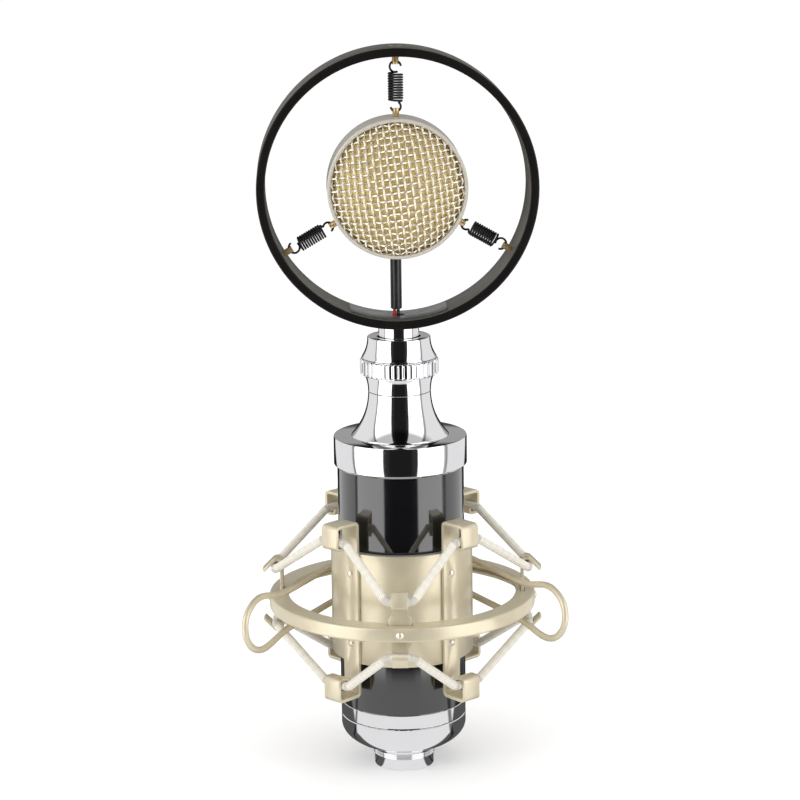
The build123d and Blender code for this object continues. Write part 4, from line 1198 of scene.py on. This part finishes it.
@dataclass
class Jaw:
    """One sprung side of the sleeve with its hook strip and squeeze handle."""

    side: Side
    splay: float
    middle: float
    offset: float = 33.0
    gap: float = 15.0
    wire_r: float = 1.3
    bend_r: float = 6.0
    anchor_angle: float = 24.0
    anchor_bend: float = 2.5

    def handle_line(self) -> list[Vector]:
        """The handle wire's line, as bent for the left side."""
        tangent = math.radians(180 - self.splay)
        across = Vector((math.cos(tangent), math.sin(tangent), 0)) * self.offset
        along = Vector((-math.sin(tangent), math.cos(tangent), 0))
        upper, lower = self.middle + self.gap / 2, self.middle - self.gap / 2
        loop = [across + Vector((0, 0, upper))]
        loop += [across + along * run + Vector((0, 0, upper + rise)) for run, rise in
                 ((41.0, 0.0), (58.5, 4.6), (70.9, 0.2))]
        loop += [across + along * run + Vector((0, 0, lower + rise)) for run, rise in
                 ((69.9, 4.8), (61.5, -2.1), (53.5, -3.0), (37.9, 0.0))]
        loop += [across + Vector((0, 0, lower))]
        return self.arm(upper) + eased(rounded(loop, self.bend_r), 1.2, 22)[1:-1] + self.arm(lower)[::-1]

    def arm(self, height: float) -> list[Vector]:
        """The wire from its anchor pad to where its straight run starts.

        Args:
            height: The arm's height.

        Returns:
            Points in millimetres.
        """
        start = 90 + self.anchor_angle
        outwards = Vector((math.cos(math.radians(start)), math.sin(math.radians(start)), 0))
        centre = outwards * (self.offset - self.anchor_bend)
        turn = along_arc((centre.x, centre.y), self.anchor_bend, self.anchor_angle, start, 8)
        foot = Vector((*turn[0], 0)) - outwards * (centre.length - 28.6)
        around = along_arc((0, 0), self.offset, start, 180 - self.splay, 12)
        return [Vector((p[0], p[1], height)) for p in [(foot.x, foot.y)] + turn + around[1:]]

    def build(self) -> None:
        """Makes every piece."""
        word = self.side.word
        bench = Bench("jaw_" + word)
        bench.copy("jaw_" + word, CHAMPAGNE, "satin_champagne", 0.12)
        bench.copy("jaw_liner_" + word, FELT, "black_felt", 0.0)
        bench.copy("hook_strip_rear_" + word, CHAMPAGNE, "satin_champagne", 0.12)
        bench.copy("rivets_rear_" + word, RIVET_BRIGHT, "satin_champagne", 0.0)
        bench.copy("handle_anchor_" + word, CHAMPAGNE, "satin_champagne", 0.2)
        line = self.handle_line()
        if self.side is Side.RIGHT:
            line = [Vector((-p.x, p.y, p.z)) for p in line]
        mesh = wire_mesh([line], self.wire_r, sides=4)
        mesh.transform(TURN_MOUNT)
        bench.place("bent_handle_" + word, mesh, CHAMPAGNE, ["squeeze_handle_" + word],
                    "satin_champagne", 80.0)


@dataclass
class Ring:
    """The mount's ring, its brackets, rivets and stand lug."""

    outer_r: float = 52.8
    low: float = 66.7
    high: float = 72.4
    wall: float = 1.2
    flange: float = 7.5
    lip: float = 3.2
    slot_size: tuple[float, float] = (2.0, 9.8)
    slot_r: float = 47.9
    bench: Bench = field(default_factory=lambda: Bench("mount_ring"))

    def channel(self) -> bpy.types.Mesh:
        """Pressed channel-section ring with a slot for each bracket."""
        r, w = self.outer_r, self.wall
        corner = along_arc((r - 0.9, self.high - 0.9), 0.9, 0, 90, 5)
        foot = along_arc((r - 0.9, self.low + 0.9), 0.9, -90, 0, 5)
        line = foot + corner + [
            (r - self.flange + 0.25, self.high), (r - self.flange, self.high - 0.25),
            (r - self.flange, self.high - w), (r - w, self.high - w), (r - w, self.low + w),
            (r - self.lip, self.low + w), (r - self.lip, self.low + 0.2), (r - self.lip + 0.2, self.low),
        ]
        ring = spun(line, steps=256)
        mesh = bpy.data.meshes.new("channel")
        ring.to_mesh(mesh)
        ring.free()
        cutter = bmesh.new()
        for quarter in range(4):
            spot = (Matrix.Rotation(quarter * math.pi / 2, 4, "Z")
                    @ Matrix.Translation((self.slot_r * MM, 0, self.high * MM)))
            size = Matrix.Diagonal((self.slot_size[0] * MM, self.slot_size[1] * MM, 6 * MM, 1))
            bmesh.ops.create_cube(cutter, size=1.0, matrix=spot @ size)
        tool_mesh = bpy.data.meshes.new("slots")
        cutter.to_mesh(tool_mesh)
        cutter.free()
        holder, tool = bpy.data.objects.new("channel", mesh), bpy.data.objects.new("slots", tool_mesh)
        for thing in (holder, tool):
            bpy.context.scene.collection.objects.link(thing)
        cut = holder.modifiers.new("slots", "BOOLEAN")
        cut.object, cut.operation, cut.solver = tool, "DIFFERENCE", "EXACT"
        result = bpy.data.meshes.new_from_object(holder.evaluated_get(bpy.context.evaluated_depsgraph_get()))
        for thing in (holder, tool):
            bpy.data.objects.remove(thing)
        result.transform(TURN_MOUNT)
        return result

    def build(self) -> None:
        """Makes every piece."""
        self.bench.place("channel_ring", self.channel(), CHAMPAGNE, ["mount_ring"], "satin_champagne")
        self.bench.copy("ring_brackets", CHAMPAGNE, "satin_champagne", 0.12)
        self.bench.copy("bracket_rivets", RIVET_BRIGHT, "satin_champagne", 0.0)
        self.bench.copy("swivel_lug", CHAMPAGNE, "satin_champagne", 0.3)
        yoke = Bench("stand_swivel")
        yoke.copy("swivel_yoke", CHAMPAGNE, "satin_champagne", 0.3)
        yoke.copy("thread_bush", BRASS, "thread_brass", 0.15)
        knob = Bench("tilt_knob")
        knob.copy("tilt_bolt", STEEL, "bolt_steel", 0.2)
        knob.copy("tilt_knob", KNOB, "knob_plastic", 0.4)


# ------------------------------------------------------------------------------ studio
@dataclass
class Studio:
    """Pale floor, soft lights, glowing surfaces that only mirrors see, and the camera."""

    distance: float = 0.9833
    eye_height: float = 0.3678
    pitch: float = 10.279
    azimuth: float = 2.3
    roll: float = -0.76
    lens: float = 115.0
    shift: tuple[float, float] = (0.0021, -0.125)
    front_end: float = 30.0
    back_start: float = 147.0
    side_span: tuple[float, float] = (20.0, 84.0)
    level: float = 0.82
    side_gain: float = 1.1
    darkness: float = 0.985
    stage_r: float = 1.6
    stage_high: float = 3.0

    def camera(self) -> None:
        """Sets the camera."""
        data = bpy.data.cameras.new("view")
        data.lens, data.sensor_width = self.lens, 36.0
        data.shift_x, data.shift_y = self.shift
        data.clip_start, data.clip_end = 0.05, 40.0
        camera = bpy.data.objects.new("view", data)
        turn = math.radians(self.azimuth)
        aim = (Matrix.Rotation(-turn, 4, "Z") @ Matrix.Rotation(math.radians(90 - self.pitch), 4, "X")
               @ Matrix.Rotation(math.radians(self.roll), 4, "Z"))
        spot = (-self.distance * math.sin(turn), -self.distance * math.cos(turn), self.eye_height)
        camera.matrix_world = Matrix.Translation(spot) @ aim
        bpy.context.scene.collection.objects.link(camera)
        bpy.context.scene.camera = camera

    def light(self, name: str, place: tuple[float, float, float], size: tuple[float, float], watts: float,
              tint: Colour = (1.0, 1.0, 1.0)) -> None:
        """Adds a soft rectangular light aimed at the microphone.

        Args:
            name: Its name.
            place: Where it is, in metres.
            size: Its width and height in metres.
            watts: Its power.
            tint: Its colour.
        """
        data = bpy.data.lights.new(name, "AREA")
        data.shape = "RECTANGLE"
        data.size, data.size_y = size
        data.energy, data.color = watts, tint
        lamp = bpy.data.objects.new(name, data)
        lamp.location = place
        lamp.rotation_euler = (Vector((0, 0, 0.15)) - Vector(place)).to_track_quat("-Z", "Y").to_euler()
        lamp.visible_glossy = False
        bpy.context.scene.collection.objects.link(lamp)

    def mirror_stage(self, name: str, shape: bmesh.types.BMesh, write: Callable[[NodeSheet], object]) -> None:
        """Adds a glowing surface that only mirrors see.

        Args:
            name: Its name.
            shape: Its shape.
            write: Writes the glow's nodes and returns the socket of its grey value.
        """
        mesh = bpy.data.meshes.new(name)
        shape.to_mesh(mesh)
        shape.free()
        material = bpy.data.materials.new(name)
        material.use_nodes = True
        sheet = NodeSheet(material.node_tree)
        shader = next(n for n in material.node_tree.nodes if n.type == "BSDF_PRINCIPLED")
        shader.inputs["Base Color"].default_value = (0, 0, 0, 1)
        shader.inputs["Roughness"].default_value = 1.0
        shader.inputs["Specular IOR Level"].default_value = 0.0
        sheet.put(shader.inputs["Emission Color"], write(sheet))
        shader.inputs["Emission Strength"].default_value = 1.0
        mesh.materials.append(material)
        stage = bpy.data.objects.new(name, mesh)
        bpy.context.scene.collection.objects.link(stage)
        stage.visible_camera = False
        stage.visible_diffuse = False
        stage.visible_shadow = False

    @staticmethod
    def band(sheet: NodeSheet, value: object, start: float, end: float, soft: float) -> bpy.types.NodeSocket:
        """A mask that is 1 between two values, with soft ends.

        Args:
            sheet: The sheet to write on.
            value: The socket that is compared.
            start: Where the mask rises.
            end: Where it falls.
            soft: Width of each soft end.

        Returns:
            The mask's socket.
        """
        rise = sheet.add("MapRange", Value=value, From_Min=start - soft / 2, From_Max=start + soft / 2)
        fall = sheet.add("MapRange", Value=value, From_Min=end + soft / 2, From_Max=end - soft / 2)
        return sheet.times(rise.outputs["Result"], fall.outputs["Result"])

    def around(self, sheet: NodeSheet) -> tuple[bpy.types.NodeSocket, bpy.types.NodeSocket, bpy.types.Node]:
        """Angle round the microphone in degrees, from the camera's side, and its size.

        Args:
            sheet: The sheet to write on.

        Returns:
            The signed angle, its absolute value, and the split position node.
        """
        split = sheet.add("SeparateXYZ", Vector=sheet.add("TexCoord").outputs["Object"])
        angle = sheet.math("ARCTAN2", split.outputs["X"], sheet.times(split.outputs["Y"], -1.0))
        degrees = sheet.plus(sheet.times(angle, 180 / math.pi), self.azimuth)
        return degrees, sheet.math("ABSOLUTE", degrees), split

    def strips(self, sheet: NodeSheet, degrees: bpy.types.NodeSocket) -> bpy.types.NodeSocket:
        """Two narrow dark gaps between the softboxes, as a multiplier.

        Args:
            sheet: The sheet to write on.
            degrees: Signed angle round the microphone.

        Returns:
            1 outside the gaps and 0.25 inside them.
        """
        gaps = sheet.plus(self.band(sheet, degrees, 79.0, 87.0, 3.0),
                          self.band(sheet, degrees, -89.0, -84.0, 2.0))
        return sheet.less(1.0, sheet.times(gaps, 0.75))

    def table_glow(self, sheet: NodeSheet) -> object:
        """White table with a dark room in front of it and behind it, and painted shade on the table beside
        its foot, seen only in reflections.
        """
        degrees, size, split = self.around(sheet)
        flat = sheet.math("SQRT", sheet.plus(sheet.math("POWER", split.outputs["X"], 2.0),
                                             sheet.math("POWER", split.outputs["Y"], 2.0)))
        far = sheet.add("MapRange", Value=flat, From_Min=0.145, From_Max=0.165).outputs["Result"]
        front = sheet.times(self.band(sheet, size, -60.0, self.front_end, 3.0), far)
        back = self.band(sheet, size, self.back_start, 400.0, 4.0)
        strips = self.strips(sheet, degrees)
        bright = sheet.times(self.band(sheet, size, *self.side_span, 5.0), far)
        # painted shade beside the foot: near the microphone the mirrored table is darkened at its sides and
        # back
        near = sheet.less(size, sheet.times(flat, 500.0))
        foot = sheet.times(self.band(sheet, near, 48.0, 400.0, 4.0), sheet.less(1.0, far))
        level = sheet.plus(self.level, sheet.times(bright, self.side_gain))
        level = sheet.times(level, strips)
        dark = sheet.math("MAXIMUM", front, sheet.math("MAXIMUM", back, sheet.times(foot, 0.9)))
        return sheet.times(level, sheet.less(1.0, sheet.times(dark, self.darkness)))

    def wall_glow(self, sheet: NodeSheet) -> object:
        """Two softboxes at the sides, a dark room in front and a grey wall behind."""
        degrees, size, split = self.around(sheet)
        front = self.band(sheet, size, -60.0, self.front_end, 3.0)
        back = self.band(sheet, size, self.back_start, 400.0, 6.0)
        bright = self.band(sheet, size, *self.side_span, 6.0)
        high = sheet.add("MapRange", Value=split.outputs["Z"], From_Min=1.5, From_Max=2.2).outputs["Result"]
        level = sheet.plus(self.level, sheet.times(bright, self.side_gain))
        level = sheet.times(level, self.strips(sheet, degrees))
        level = sheet.times(level, sheet.less(1.0, sheet.times(high, 0.7)))
        low_wall = self.band(sheet, split.outputs["Z"], 0.2, 0.95, 0.15)
        behind = sheet.plus(sheet.times(low_wall, 0.34), 0.01)
        level = sheet.times(level, sheet.less(1.0, sheet.times(front, self.darkness)))
        keep = sheet.times(level, sheet.less(1.0, back))
        return sheet.plus(keep, sheet.times(back, behind))

    def reflections(self) -> None:
        """Adds the table and the walls that the chrome and the lacquer mirror."""
        table = bmesh.new()
        bmesh.ops.create_circle(table, cap_ends=True, radius=self.stage_r, segments=96)
        bmesh.ops.translate(table, vec=(0, 0, 0.0004), verts=table.verts)
        self.mirror_stage("mirrored_table", table, self.table_glow)
        wall = bmesh.new()
        bmesh.ops.create_cone(wall, cap_ends=True, segments=96, radius1=self.stage_r, radius2=self.stage_r,
                              depth=self.stage_high)
        bmesh.ops.delete(wall, geom=[f for f in wall.faces if f.normal.z < -0.9], context="FACES_ONLY")
        bmesh.ops.translate(wall, vec=(0, 0, self.stage_high / 2), verts=wall.verts)
        self.mirror_stage("mirrored_wall", wall, self.wall_glow)

    def floor(self) -> None:
        """Adds the pale floor."""
        shape = bmesh.new()
        bmesh.ops.create_circle(shape, cap_ends=True, radius=14.0, segments=96)
        mesh = bpy.data.meshes.new("floor")
        shape.to_mesh(mesh)
        shape.free()
        material = bpy.data.materials.new("pale_floor")
        material.use_nodes = True
        sheet = NodeSheet(material.node_tree)
        shader = next(n for n in material.node_tree.nodes if n.type == "BSDF_PRINCIPLED")
        noise = sheet.add("TexNoise", Vector=sheet.add("TexCoord").outputs["Object"], Scale=6.0)
        sheet.put(shader.inputs["Base Color"],
                  sheet.blend(noise.outputs["Fac"], (0.97, 0.97, 0.97, 1), (0.96, 0.96, 0.96, 1)))
        shader.inputs["Roughness"].default_value = 0.9
        shader.inputs["Specular IOR Level"].default_value = 0.0
        shader.inputs["Emission Color"].default_value = (1, 1, 1, 1)
        shader.inputs["Emission Strength"].default_value = 0.05
        mesh.materials.append(material)
        floor = bpy.data.objects.new("floor", mesh)
        bpy.context.scene.collection.objects.link(floor)

    def build(self) -> None:
        """Sets the whole studio."""
        self.camera()
        self.floor()
        world = bpy.context.scene.world or bpy.data.worlds.new("world")
        bpy.context.scene.world = world
        world.use_nodes = True
        background = next(n for n in world.node_tree.nodes if n.type == "BACKGROUND")
        background.inputs["Color"].default_value = (1, 1, 1, 1)
        background.inputs["Strength"].default_value = 1.0
        bpy.context.scene.view_settings.view_transform = "Standard"
        self.light("key_left", (-1.0, -0.7, 0.45), (0.5, 0.9), 5.0)
        self.light("fill_right", (1.0, -0.6, 0.4), (0.4, 0.9), 4.0)
        self.light("top", (0.0, -0.2, 1.3), (0.9, 0.9), 1.2)
        self.reflections()


def main() -> None:
    """Builds the microphone and its studio."""
    logging.basicConfig(level=logging.INFO, format="%(name)s %(message)s", force=True)
    makers: Sequence[Maker] = (
        Housing(), Neck(), Hoop(), Head(), Cradle(),
        Jaw(Side.LEFT, 24.5, 69.7), Jaw(Side.RIGHT, 29.5, 72.0), Ring(), Studio(),
    )
    for maker in makers:
        maker.build()
        LOG.info("finished %s", type(maker).__name__)


if __name__ == "__main__":
    main()
